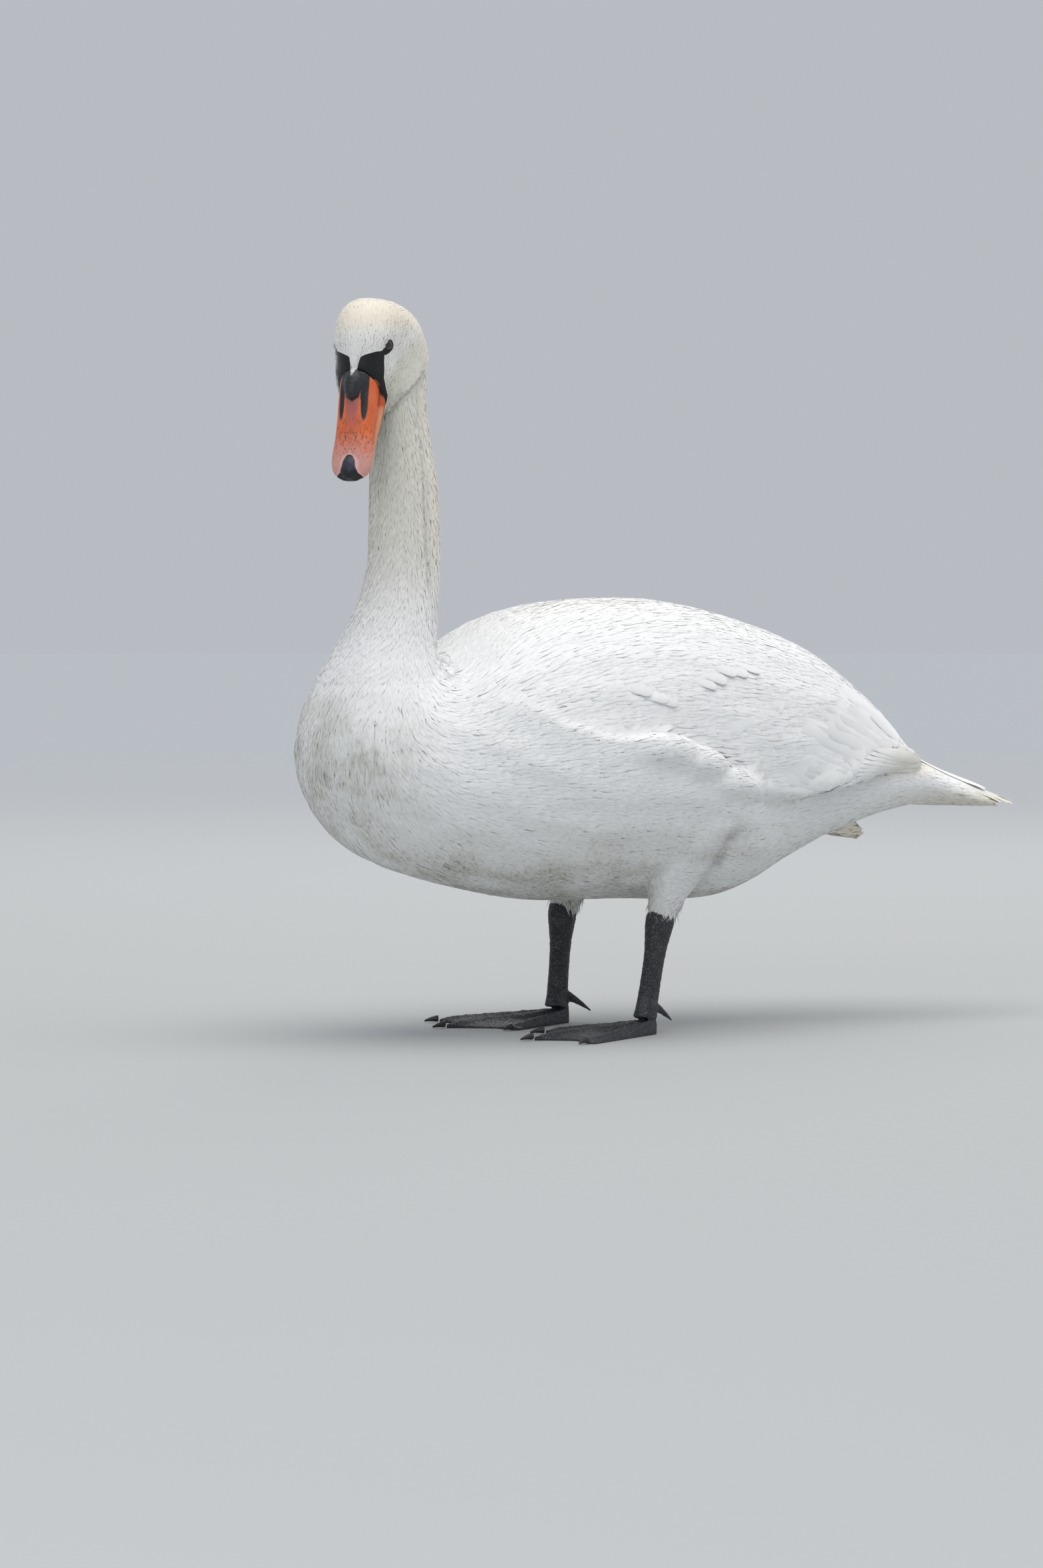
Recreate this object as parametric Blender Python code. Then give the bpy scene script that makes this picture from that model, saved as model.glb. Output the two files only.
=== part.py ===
# A mute swan, standing still at life size with its neck up, its head turned to its left and its bill
# pointing down. Metres, +Z up: the swan faces -Y, its left side is +X, and its soles rest on z = 0.
from math import cos, exp, pi, radians, sin

import bmesh
import bpy
import numpy as np
from mathutils import Vector

# The tables' Y values count from a point above the legs; this one is the middle of the swan's length,
# which becomes the origin.
ORIGIN_Y = 0.111
# Fits and fineness.
GAP = 0.0003  # clear space between neighbouring pieces
MERGE_DISTANCE = 0.00002
SHARP_ANGLE = radians(40)
ROUNDNESS = 2.2  # exponent of the body's sections: 2 is an ellipse, more is squarer
SIDE_POINTS = 18  # points round a neck or head section
BILL_POINTS = 14  # points round a section of the bill
LOW_STEPS, WING_STEPS, MANTLE_STEPS = 6, 5, 2  # steps round the trunk below, under and above a wing

# The body's outer shape, from the tail root forward to the base of the neck. Each row is one section,
# which leans forward like a fan round the crease where the neck meets the back:
# back line y, z; belly line y, z; half width; height share of the widest line; then the wing that lies
# on it: its lower and upper edge as angles above the widest line, its thickness, how far the flank
# stands out (+) or in (-) below it, and 1 where the mantle shows between the wings.
BODY_ROWS = (
    (0.362, 0.2500, 0.368, 0.199, 0.044, 0.45, 20, 80.0, 0.000, -0.002, 0),
    (0.327, 0.2910, 0.332, 0.192, 0.060, 0.45, 4, 87.0, 0.011, -0.006, 0),
    (0.287, 0.3240, 0.290, 0.180, 0.077, 0.45, -7, 89.5, 0.014, -0.009, 0),
    (0.239, 0.3540, 0.240, 0.162, 0.095, 0.47, -14, 89.5, 0.016, -0.011, 0),
    (0.190, 0.3740, 0.190, 0.137, 0.111, 0.48, -18, 89.5, 0.017, -0.011, 0),
    (0.150, 0.3860, 0.150, 0.121, 0.120, 0.49, -14, 89.5, 0.017, -0.008, 0),
    (0.125, 0.3920, 0.120, 0.118, 0.124, 0.49, -8, 89.5, 0.017, 0.006, 0),
    (0.080, 0.3990, 0.070, 0.120, 0.131, 0.49, 1, 89.5, 0.017, 0.008, 0),
    (0.030, 0.4000, 0.012, 0.121, 0.135, 0.48, 5, 89.5, 0.017, 0.008, 0),
    (-0.020, 0.3960, -0.050, 0.123, 0.135, 0.46, 8, 89.5, 0.017, 0.007, 0),
    (-0.060, 0.3860, -0.105, 0.133, 0.130, 0.45, 15, 78.0, 0.015, 0.005, 1),
    (-0.092, 0.3730, -0.161, 0.147, 0.121, 0.44, 26, 66.0, 0.011, 0.003, 1),
    (-0.117, 0.3560, -0.208, 0.167, 0.110, 0.44, 33, 49.0, 0.006, 0.001, 1),
    (-0.133, 0.3430, -0.244, 0.200, 0.098, 0.45, 35, 45.0, 0.000, 0.000, 1),
    (-0.141, 0.3370, -0.263, 0.241, 0.085, 0.47, 35, 45.0, 0.000, 0.000, 1),
    (-0.144, 0.3380, -0.263, 0.284, 0.071, 0.49, 35, 45.0, 0.000, 0.000, 1),
    (-0.145, 0.3460, -0.248, 0.325, 0.057, 0.50, 35, 45.0, 0.000, 0.000, 1),
    (-0.1435, 0.3650, -0.226, 0.361, 0.045, 0.50, 35, 45.0, 0.000, 0.000, 1),
    (-0.1410, 0.3920, -0.2105, 0.395, 0.0365, 0.50, 35, 45.0, 0.000, 0.000, 1),
)
WING_REAR, WING_FRONT = 0.3, 12.4  # where the wing ends, counted in rows
SHELF_MARGIN = 0.1  # degrees that the trunk's shelf for the wing lies inside the wing's place
WING_MARGIN, WING_GAP = 0.5, 0.0009  # clear space round the wing, in degrees, and under it
VALLEY_DEPTH, VALLEY_ANGLE = 0.004, 9.0  # the furrow between the folded wings
VALLEY_WING = 0.012  # wing thickness from which the furrow has its full depth
FLANK_FADE = 30.0  # degrees below the wing's edge over which the flank swelling fades

# The neck, upwards: nape y, z; throat y, z; half width; turn of the section to the left in degrees.
NECK_ROWS = (
    (-0.1380, 0.430, -0.2010, 0.430, 0.0318, 0),
    (-0.1385, 0.480, -0.1990, 0.480, 0.0300, 0),
    (-0.1450, 0.530, -0.1990, 0.529, 0.0268, 3),
    (-0.1520, 0.575, -0.2000, 0.573, 0.0250, 7),
)
# Each length of the neck: its ends, counted in rows from the body's last but one, and its steps.
NECK_LENGTHS = {"neck_lower": (1, 3, 5), "neck_middle": (3, 4.5, 4), "neck_upper": (4.5, 9, 9)}
# The arch over which the neck runs into the nape: nape point; throat point; half width; turn.
ARCH_ROWS = (
    ((0.001, -0.1525, 0.602), (0.000, -0.2010, 0.588), 0.0262, 14),
    ((0.003, -0.1575, 0.635), (0.001, -0.2020, 0.598), 0.0275, 22),
    ((0.007, -0.1750, 0.659), (0.002, -0.2030, 0.604), 0.0295, 31),
    ((0.012, -0.1990, 0.666), (0.003, -0.2050, 0.609), 0.0270, 40),
)

# The head's own frame: between the eyes, with the bill's direction turned left and down.
EYE_MIDDLE = Vector((0.017, -0.219, 0.624))
HEAD_TURN, HEAD_PITCH = 42, 65  # degrees to the left, degrees down
TURN, PITCH = radians(HEAD_TURN), radians(HEAD_PITCH)
FORWARD = Vector((sin(TURN) * cos(PITCH), -cos(TURN) * cos(PITCH), -sin(PITCH)))
CROWNWARD = Vector((sin(TURN) * sin(PITCH), -cos(TURN) * sin(PITCH), cos(PITCH)))
LEFTWARD = CROWNWARD.cross(FORWARD)
# The head, forwards from the back of the skull: crown forward, up; jaw forward, up; half width; height
# share of the widest line.
HEAD_ROWS = (
    (-0.0455, -0.0030, -0.0450, -0.0150, 0.0070, 0.50),
    (-0.0425, 0.0095, -0.0415, -0.0270, 0.0190, 0.50),
    (-0.0340, 0.0195, -0.0320, -0.0360, 0.0268, 0.46),
    (-0.0210, 0.0255, -0.0170, -0.0410, 0.0302, 0.42),
    (-0.0080, 0.0265, -0.0010, -0.0410, 0.0306, 0.38),
    (0.0040, 0.0245, 0.0150, -0.0390, 0.0290, 0.36),
    (0.0150, 0.0205, 0.0290, -0.0355, 0.0266, 0.34),
    (0.0240, 0.0170, 0.0390, -0.0315, 0.0240, 0.34),
    (0.0300, 0.0150, 0.0450, -0.0290, 0.0216, 0.34),
)
HEAD_ROUNDNESS, HEAD_STEPS = 2.0, 14
# The bill, from its base to its tip: distance forward; height of its ridge and of its cutting edge;
# half width at the cutting edge; height of the lower half's keel; how much it narrows towards the
# ridge; how far a section's lower end leads its upper end.
BILL_ROWS = (
    (0.0304, 0.0150, -0.0165, 0.0214, -0.0285, 0.42, 0.0150),
    (0.0480, 0.0110, -0.0172, 0.0212, -0.0276, 0.42, 0.0100),
    (0.0620, 0.0060, -0.0178, 0.0204, -0.0264, 0.36, 0.0060),
    (0.0780, 0.0010, -0.0184, 0.0192, -0.0252, 0.25, 0.0030),
    (0.0920, -0.0035, -0.0190, 0.0190, -0.0242, 0.15, 0.0000),
    (0.1040, -0.0068, -0.0194, 0.0195, -0.0234, 0.08, 0.0000),
    (0.1140, -0.0100, -0.0198, 0.0180, -0.0226, 0.05, 0.0000),
    (0.1200, -0.0125, -0.0200, 0.0137, -0.0218, 0.00, 0.0000),
    (0.1238, -0.0160, -0.0202, 0.0062, -0.0211, 0.00, 0.0000),
)
BILL_FLATNESS = 0.83  # exponent of the bill's sections: 1 is an ellipse, less is squarer
UPPER_BILL_STEPS, LOWER_BILL_STEPS = 13, 8
LOWER_BILL_END = 7.3  # rows: the lower half stops short of the nail
LOWER_BILL_INSET = 0.0016  # how far its sides lie inside the upper half's
# Knob and nail: centre forward and up; radii along, across and up.
KNOB_CENTRE, KNOB_RADII = (0.0415, 0.0110), (0.0155, 0.0082, 0.0080)
NAIL_CENTRE, NAIL_RADII = (0.1125, -0.0120), (0.0125, 0.0085, 0.0058)
EYE_RADIUS = 0.0060
EYE_FORWARD, EYE_UP, EYE_SIDE = 0.0, 0.0020, 0.0212

# The tail, backwards: y and z of its upper side; y and z of its lower side; half width.
TAIL_ROWS = (
    (0.3628, 0.2490, 0.3688, 0.2000, 0.0435),
    (0.4000, 0.2310, 0.4000, 0.1985, 0.0490),
    (0.4280, 0.2200, 0.4280, 0.1995, 0.0505),
    (0.4530, 0.2105, 0.4530, 0.2000, 0.0450),
    (0.4730, 0.2040, 0.4730, 0.1995, 0.0330),
    (0.4830, 0.2000, 0.4830, 0.1970, 0.0180),
    (0.4870, 0.1975, 0.4870, 0.1955, 0.0080),
)
TAIL_DROOP, TAIL_DROOP_ROWS = 0.007, 2  # how much lower its sides lie, and the rows it takes to grow
BLADE_TURN = 0.35  # how far a blade's face turns back for each unit outwards
# Tips of the folded flight feathers: points along the blade, with half height and half thickness.
LEFT_BLADE = (
    (0.104, 0.190, 0.224, 0.010, 0.003),
    (0.096, 0.240, 0.230, 0.011, 0.003),
    (0.077, 0.290, 0.240, 0.010, 0.003),
    (0.060, 0.325, 0.247, 0.008, 0.0025),
    (0.049, 0.350, 0.248, 0.005, 0.002),
    (0.044, 0.362, 0.247, 0.002, 0.001),
)
RIGHT_BLADE = (
    (-0.105, 0.185, 0.214, 0.013, 0.003),
    (-0.094, 0.236, 0.207, 0.016, 0.003),
    (-0.077, 0.290, 0.194, 0.016, 0.003),
    (-0.063, 0.330, 0.182, 0.015, 0.0025),
    (-0.055, 0.355, 0.175, 0.011, 0.002),
    (-0.052, 0.363, 0.172, 0.004, 0.001),
)

# Legs. Each is (ankle, foot) on the left or right; the thigh follows from the ankle.
LEGS = {
    "left": (Vector((0.072, 0.058, 0.103)), Vector((0.074, 0.038, 0.0))),
    "right": (Vector((-0.070, 0.038, 0.103)), Vector((-0.071, 0.031, 0.0))),
}
# The feathered thigh above the ankle: offset outwards and back, z; half width across and along.
THIGH_ROWS = (
    (0.000, 0.004, 0.1125, 0.0118, 0.0135),
    (0.001, 0.008, 0.1270, 0.0150, 0.0185),
    (0.008, 0.018, 0.1550, 0.0230, 0.0310),
    (0.019, 0.028, 0.1900, 0.0320, 0.0450),
    (0.021, 0.034, 0.2200, 0.0340, 0.0480),
)
# The bare shank: share of the way from foot to ankle; half width across and along.
SHANK_ROWS = (
    (0.155, 0.0095, 0.0120),
    (0.25, 0.0078, 0.0106),
    (0.50, 0.0072, 0.0100),
    (0.75, 0.0080, 0.0108),
    (0.92, 0.0100, 0.0135),
    (1.02, 0.0106, 0.0142),
    (1.089, 0.0102, 0.0132),
)
# The webbed foot: toe angles (inner, middle, outer) outwards from straight ahead, toe lengths.
TOE_ANGLES = (-27.0, 1.0, 27.0)
TOE_LENGTHS = (0.106, 0.136, 0.126)
TOE_HALF_WIDTH, TOE_SPREAD = 0.0058, 0.0062
TOE_MIDDLE = 0.1  # distance from the heel at which a toe has its stated half width
HEEL_HEIGHT, TOE_TIP_HEIGHT, WEB_THICKNESS = 0.0150, 0.0060, 0.0024
KNUCKLE_HEIGHT, KNUCKLES = 0.0006, 3
HEEL_BACK, HEEL_START = 0.020, 0.008  # where the toes fan out from, and where the sole begins
WEB_NOTCH, WEB_CURVE = 0.17, 0.8  # how far the web's edge falls back between two toes, and how roundly
FOOT_SHARES = (0, 0.12, 0.26, 0.42, 0.58, 0.74, 0.88, 1.0)  # shares of the reach at which rows lie
OUTER_REACH, RIM_HEIGHT = 0.97, 0.55  # shares of the toe's length and height at the foot's edge
# Claws and hind toe: length, radius, how far the tip droops.
CLAW_LENGTH, CLAW_RADIUS, CLAW_DROOP = 0.013, 0.0034, 0.0022
CLAW_CLEARANCE = 0.0006  # below a claw's root
HALLUX_LENGTH, HALLUX_RADIUS, HALLUX_DROOP = 0.024, 0.0048, 0.003
HALLUX_AT, HALLUX_OUT, HALLUX_BACK = 0.24, -0.003, 0.0118  # share up the shank, then offsets from it
HALLUX_AHEAD = (-0.25, 1, -0.55)
HORN_SHARES, HORN_TAPER, HORN_FLATNESS = (0, 0.35, 0.7, 1.0), 0.8, 0.8

COLOURS = {
    "white_plumage": ((0.86, 0.86, 0.84), 0.75),
    "cream_plumage": ((0.85, 0.81, 0.72), 0.75),
    "flight_feathers": ((0.84, 0.82, 0.76), 0.6),
    "orange_bill": ((0.80, 0.20, 0.06), 0.4),
    "black_horn": ((0.02, 0.02, 0.025), 0.35),
    "leg_skin": ((0.045, 0.045, 0.055), 0.55),
    "eye": ((0.012, 0.009, 0.007), 0.05),
}


def material(name):
    """The named material, made on first use."""
    found = bpy.data.materials.get(name)
    if found:
        return found
    made = bpy.data.materials.new(name)
    made.use_nodes = True
    colour, roughness = COLOURS[name]
    shader = made.node_tree.nodes["Principled BSDF"]
    shader.inputs["Base Color"].default_value = (*colour, 1)
    shader.inputs["Roughness"].default_value = roughness
    shader.inputs["Metallic"].default_value = 0.0
    return made


def cubic(knots, values, at):
    """Values on a natural cubic spline through the rows of values, one for each knot."""
    knots, values = np.asarray(knots, float), np.asarray(values, float)
    step = np.diff(knots)
    n = len(knots)
    system, right = np.eye(n), np.zeros_like(values)
    for i in range(1, n - 1):
        system[i, i - 1 : i + 2] = step[i - 1], 2 * (step[i - 1] + step[i]), step[i]
        right[i] = 6 * ((values[i + 1] - values[i]) / step[i] - (values[i] - values[i - 1]) / step[i - 1])
    bend = np.linalg.solve(system, right)
    at = np.asarray(at, float)
    i = np.clip(np.searchsorted(knots, at, side="right") - 1, 0, n - 2)
    h, a, b = step[i][:, None], (knots[i + 1] - at)[:, None], (at - knots[i])[:, None]
    return (
        (bend[i] * a**3 + bend[i + 1] * b**3) / (6 * h)
        + (values[i] / h - bend[i] * h / 6) * a
        + (values[i + 1] / h - bend[i + 1] * h / 6) * b
    )


def grid_faces(rows, columns, closed):
    """Triangles of a grid of points, row after row; closed joins each row's last point to its first."""
    last = columns if closed else columns - 1
    for i in range(rows - 1):
        for j in range(last):
            k = (j + 1) % columns
            near, far = i * columns, (i + 1) * columns
            yield (near + j, near + k, far + k)
            yield (near + j, far + k, far + j)


def add_solid(name, points, faces, look, smooth=True):
    """A closed mesh object from points and faces, with doubles merged and its faces turned outwards."""
    mesh = bpy.data.meshes.new(name)
    shape = bmesh.new()
    verts = [shape.verts.new((p[0], p[1] - ORIGIN_Y, p[2])) for p in points]
    for face in faces:
        shape.faces.new([verts[i] for i in face])
    bmesh.ops.remove_doubles(shape, verts=shape.verts, dist=MERGE_DISTANCE)
    bmesh.ops.recalc_face_normals(shape, faces=shape.faces)
    if shape.calc_volume(signed=True) < 0:
        bmesh.ops.reverse_faces(shape, faces=shape.faces)
    shape.to_mesh(mesh)
    shape.free()
    if smooth:
        mesh.shade_smooth()
        mesh.set_sharp_from_angle(angle=SHARP_ANGLE)
    mesh.materials.append(material(look))
    made = bpy.data.objects.new(name, mesh)
    bpy.context.scene.collection.objects.link(made)
    return made


def loft(name, rings, look):
    """A closed solid through rings of the same number of points, with flat ends."""
    count = len(rings[0])
    points = [p for ring in rings for p in ring]
    faces = list(grid_faces(len(rings), count, True))
    faces.append(tuple(range(count)))
    faces.append(tuple(range((len(rings) - 1) * count, len(rings) * count)))
    return add_solid(name, points, faces, look)


def ellipsoid(name, centre, axes, radii, look, segments=14, rings=9):
    """An ellipsoid with its pole along the first of its three axes."""
    shape = bmesh.new()
    bmesh.ops.create_uvsphere(shape, u_segments=segments, v_segments=rings, radius=1)
    points = [
        centre + axes[0] * (v.co.z * radii[0]) + axes[1] * (v.co.x * radii[1]) + axes[2] * (v.co.y * radii[2])
        for v in shape.verts
    ]
    shape.verts.index_update()
    faces = [[v.index for v in f.verts] for f in shape.faces]
    shape.free()
    return add_solid(name, points, faces, look)


def grown_copy(source, clearance):
    """A hidden copy of a piece, swollen by the clearance, to cut its neighbours with."""
    mesh = source.data.copy()
    shape = bmesh.new()
    shape.from_mesh(mesh)
    shape.normal_update()
    moves = [(v, v.normal * clearance) for v in shape.verts]
    for vert, move in moves:
        vert.co += move
    shape.to_mesh(mesh)
    shape.free()
    cutter = bpy.data.objects.new(source.name + "_cutter", mesh)
    cutter.hide_render = True
    cutter.display_type = "WIRE"
    bpy.context.scene.collection.objects.link(cutter)
    return cutter


def cut(piece, cutter):
    """Takes a cutter's shape out of a piece."""
    modifier = piece.modifiers.new("cut_" + cutter.name, "BOOLEAN")
    modifier.operation = "DIFFERENCE"
    modifier.solver = "EXACT"
    modifier.object = cutter


def along(rows, at):
    """Rows of a table between its keys, at positions counted in rows."""
    return cubic(range(len(rows)), rows, at)


def section_point(top, bottom, widest, half_width, side, angle, roundness=ROUNDNESS):
    """The point of a section at an angle above its widest line, on the side a vector points to."""
    middle = bottom + (top - bottom) * widest
    c, s = cos(radians(angle)), sin(radians(angle))
    across = abs(c) ** (2 / roundness) * half_width
    reach = (top - middle) if s >= 0 else (middle - bottom)
    return middle + side * across + reach * (np.sign(s) * abs(s) ** (2 / roundness))


class BodySection:
    """One section of the body: its outer surface, and the surface left under the wings."""

    def __init__(self, at):
        place = np.interp(at, range(BODY_COUNT), BODY_KNOTS)
        shape = cubic(BODY_KNOTS, [row[:6] for row in BODY_ROWS], [place])[0]
        back_y, back_z, belly_y, belly_z, self.half_width, self.widest = shape
        self.top, self.bottom = Vector((0, back_y, back_z)), Vector((0, belly_y, belly_z))
        self.middle = self.bottom + (self.top - self.bottom) * self.widest
        columns = np.array([row[6:] for row in BODY_ROWS])
        self.low, self.high, self.thick, self.flank, self.mantle = (
            float(np.interp(at, range(BODY_COUNT), column)) for column in columns.T
        )

    def outer(self, side, angle, inset=0.0):
        """A point of the outer surface on one side, moved inwards by the inset."""
        outwards = Vector((side, 0, 0))
        point = section_point(self.top, self.bottom, self.widest, self.half_width, outwards, angle)
        inwards = (self.middle - point).normalized()
        winged = min(1.0, self.thick / VALLEY_WING)
        furrow = VALLEY_DEPTH * winged * (1 - self.mantle) * exp(-(((90 - angle) / VALLEY_ANGLE) ** 2))
        below = self.low - angle
        swell = self.flank * exp(-((below / FLANK_FADE) ** 2)) if below >= 0 else 0.0
        return point + inwards * (inset + furrow - swell)

    def trunk_ring(self):
        """The trunk's section, with the shelf that the wing lies in."""
        half = []
        for side in (1, -1):
            line = [self.outer(side, a) for a in np.linspace(-90, self.low, LOW_STEPS + 1)]
            line += [self.outer(side, a, self.thick) for a in self.wing_angles(SHELF_MARGIN)]
            above = self.thick * (1 - self.mantle)
            line += [self.outer(side, a, above) for a in np.linspace(self.high, 90, MANTLE_STEPS + 1)]
            half.append(line)
        left, right = half
        return left + right[::-1][1:-1]

    def wing_angles(self, margin):
        """Angles across the wing's place, inside its two edges by a margin in degrees."""
        return np.linspace(self.low + margin, self.high - margin, WING_STEPS + 1)

    def wing_ring(self, side):
        """The wing's section, wound so that its inner face is cut into triangles as the trunk's is."""
        outer = [self.outer(side, a) for a in self.wing_angles(WING_MARGIN)]
        inner = [self.outer(side, a, self.thick - WING_GAP) for a in self.wing_angles(WING_MARGIN)]
        return inner + outer[::-1] if side > 0 else outer + inner[::-1]


def body_knots():
    """Spline positions of the body's rows, spaced by how far their back and belly points move."""
    ends = np.array([row[:4] for row in BODY_ROWS])
    return np.concatenate([[0], np.cumsum(np.sqrt((np.diff(ends, axis=0) ** 2).sum(axis=1)))])


BODY_COUNT = len(BODY_ROWS)
BODY_KNOTS = body_knots()


def body_stations():
    """Positions of the sections, two to a row, with the wing's two ends among them."""
    halves = np.arange(0, BODY_COUNT - 0.75, 0.5)
    return sorted(set(halves) | {WING_REAR, WING_FRONT})


def make_trunk():
    rings = [BodySection(at).trunk_ring() for at in body_stations()]
    return loft("trunk", rings, "white_plumage")


def make_wing(name, side):
    stations = [at for at in body_stations() if WING_REAR <= at <= WING_FRONT]
    points = [p for at in stations for p in BodySection(at).wing_ring(side)]
    count = 2 * (WING_STEPS + 1)
    faces = list(grid_faces(len(stations), count, True))
    for start in (0, (len(stations) - 1) * count):
        for j in range(WING_STEPS):
            faces.append((start + j, start + j + 1, start + count - 2 - j, start + count - 1 - j))
    return add_solid(name, points, faces, "white_plumage")


def head_point(forward, up, left=0.0):
    return EYE_MIDDLE + FORWARD * forward + CROWNWARD * up + LEFTWARD * left


def neck_rows():
    """Keys up the neck: nape point, throat point, turn to the left, half width."""
    keys = []
    for back_y, back_z, belly_y, belly_z, half_width in [row[:5] for row in BODY_ROWS[-2:]]:
        keys.append((0, back_y, back_z, 0, belly_y, belly_z, 0, half_width))
    for nape_y, nape_z, throat_y, throat_z, half_width, turn in NECK_ROWS:
        keys.append((0, nape_y, nape_z, 0, throat_y, throat_z, turn, half_width))
    for nape, throat, half_width, turn in ARCH_ROWS:
        keys.append((*nape, *throat, turn, half_width))
    return keys


def neck_ring(row):
    """A ring of the neck or the head from one row of numbers."""
    top, bottom = Vector(row[0:3]), Vector(row[3:6])
    turn, half_width = radians(row[6]), row[7]
    widest, roundness = row[8:10] if len(row) > 8 else (0.5, ROUNDNESS)
    up = (top - bottom).normalized()
    left = Vector((cos(turn), sin(turn), 0))
    left = (left - up * left.dot(up)).normalized()
    ring = []
    for i in range(SIDE_POINTS):
        angle = 360 * i / SIDE_POINTS - 90
        side = left if cos(radians(angle)) >= 0 else -left
        ring.append(section_point(top, bottom, widest, half_width, side, angle, roundness))
    return ring


def loft_keys(keys, first, last, steps):
    """Rings on a smooth spline through key rows, between two places counted in rows."""
    ends = np.array([row[:6] for row in keys])
    knots = np.concatenate([[0], np.cumsum(np.sqrt((np.diff(ends, axis=0) ** 2).sum(axis=1)))])
    places = np.interp(np.linspace(first, last, steps + 1), range(len(knots)), knots)
    return [neck_ring(row) for row in cubic(knots, keys, places)]


def make_neck():
    """The neck's three lengths, which meet across small gaps; the topmost is fitted round the head."""
    keys = neck_rows()
    made = []
    for name, (first, last, steps) in NECK_LENGTHS.items():
        rings = loft_keys(keys, first, last, steps)
        rise = (sum(rings[1], Vector()) - sum(rings[0], Vector())).normalized() * GAP
        rings[0] = [p + rise for p in rings[0]]
        made.append(loft(name, rings, "cream_plumage" if name == "neck_upper" else "white_plumage"))
    return made


def make_head():
    """The feathered head, from the back of the skull to the slanting base of the bill."""
    keys = []
    for crown_f, crown_u, jaw_f, jaw_u, half_width, widest in HEAD_ROWS:
        ends = (*head_point(crown_f, crown_u), *head_point(jaw_f, jaw_u))
        keys.append((*ends, HEAD_TURN, half_width, widest, HEAD_ROUNDNESS))
    return loft("head", loft_keys(keys, 0, len(keys) - 1, HEAD_STEPS), "cream_plumage")


def bill_ring(forward, top, bottom, half_width, narrowing, rake, whole):
    """A section of the bill across its length; whole is the height over which the rake is spread."""
    ring = []
    for i in range(BILL_POINTS):
        a = 2 * pi * i / BILL_POINTS
        across = np.sign(cos(a)) * abs(cos(a)) ** BILL_FLATNESS * half_width
        share = (1 + np.sign(sin(a)) * abs(sin(a)) ** BILL_FLATNESS) / 2
        up = bottom + (top - bottom) * share
        lead = rake * (whole[0] - up) / (whole[0] - whole[1])
        ring.append(head_point(forward + lead, up, across * (1 - narrowing * share)))
    return ring



def make_bill():
    """The upper and lower half of the bill, which meet along its cutting edge."""
    upper, lower = [], []
    upper_places = np.linspace(0, len(BILL_ROWS) - 1, UPPER_BILL_STEPS + 1)
    lower_places = np.linspace(0, LOWER_BILL_END, LOWER_BILL_STEPS + 1)
    for f, top, edge, wide, keel, narrowing, rake in along(BILL_ROWS, upper_places):
        upper.append(bill_ring(f, top, edge, wide, narrowing, rake, (top, keel)))
    for f, top, edge, wide, keel, narrowing, rake in along(BILL_ROWS, lower_places):
        inset = wide - LOWER_BILL_INSET
        lower.append(bill_ring(f, edge - GAP, keel, inset, 0, rake, (top, keel)))
    return loft("bill_upper", upper, "orange_bill"), loft("bill_lower", lower, "orange_bill")


def make_knob_and_nail(head, upper):
    """The black knob at the bill's base and the nail at its tip, each fitted onto the bill."""
    axes = (FORWARD, LEFTWARD, CROWNWARD)
    knob = ellipsoid("bill_knob", head_point(*KNOB_CENTRE), axes, KNOB_RADII, "black_horn")
    nail = ellipsoid("bill_nail", head_point(*NAIL_CENTRE), axes, NAIL_RADII, "black_horn")
    cut(knob, grown_copy(upper, 2 * GAP))
    cut(knob, grown_copy(head, 2 * GAP))
    cut(nail, grown_copy(upper, GAP))


def make_eyes(head):
    """Two eyeballs, each in a socket cut into the head."""
    axes = (LEFTWARD, FORWARD, CROWNWARD)
    for name, side in (("eye_left", 1), ("eye_right", -1)):
        centre = head_point(EYE_FORWARD, EYE_UP, side * EYE_SIDE)
        eye = ellipsoid(name, centre, axes, (EYE_RADIUS,) * 3, "eye", segments=12, rings=8)
        cut(head, grown_copy(eye, GAP * 1.5))


def flat_ring(centre, across, upwards, half_width, half_height, count=16, squareness=2.2):
    """A section of a limb, tail or feather blade round a centre."""
    ring = []
    for i in range(count):
        a = 2 * pi * i / count
        c, s = cos(a), sin(a)
        x = np.sign(c) * abs(c) ** (2 / squareness) * half_width
        z = np.sign(s) * abs(s) ** (2 / squareness) * half_height
        ring.append(centre + across * x + upwards * z)
    return ring


def make_tail():
    rings = []
    last = len(TAIL_ROWS) - 1
    for place in np.linspace(0, last, 10):
        top_y, top_z, low_y, low_z, half_width = along(TAIL_ROWS, [place])[0]
        top, low = Vector((0, top_y, top_z)), Vector((0, low_y, low_z))
        height = top - low
        middle = (top + low) / 2
        ring = flat_ring(middle, Vector((1, 0, 0)), height.normalized(), half_width, height.length / 2)
        droop = TAIL_DROOP * min(1.0, place / TAIL_DROOP_ROWS)
        rings.append([p - Vector((0, 0, droop * (p.x / half_width) ** 2)) for p in ring])
    return loft("tail", rings, "flight_feathers")


def make_blade(name, rows, neighbours):
    """The tips of the long flight feathers, which lie between the wing and the trunk."""
    rings = []
    for x, y, z, height, thick in along(rows, np.linspace(0, len(rows) - 1, 10)):
        outwards = Vector((np.sign(x), BLADE_TURN, 0)).normalized()
        rings.append(flat_ring(Vector((x, y, z)), outwards, Vector((0, 0, 1)), thick, height, 12))
    blade = loft(name, rings, "flight_feathers")
    for neighbour in neighbours:
        cut(blade, neighbour)


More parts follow.
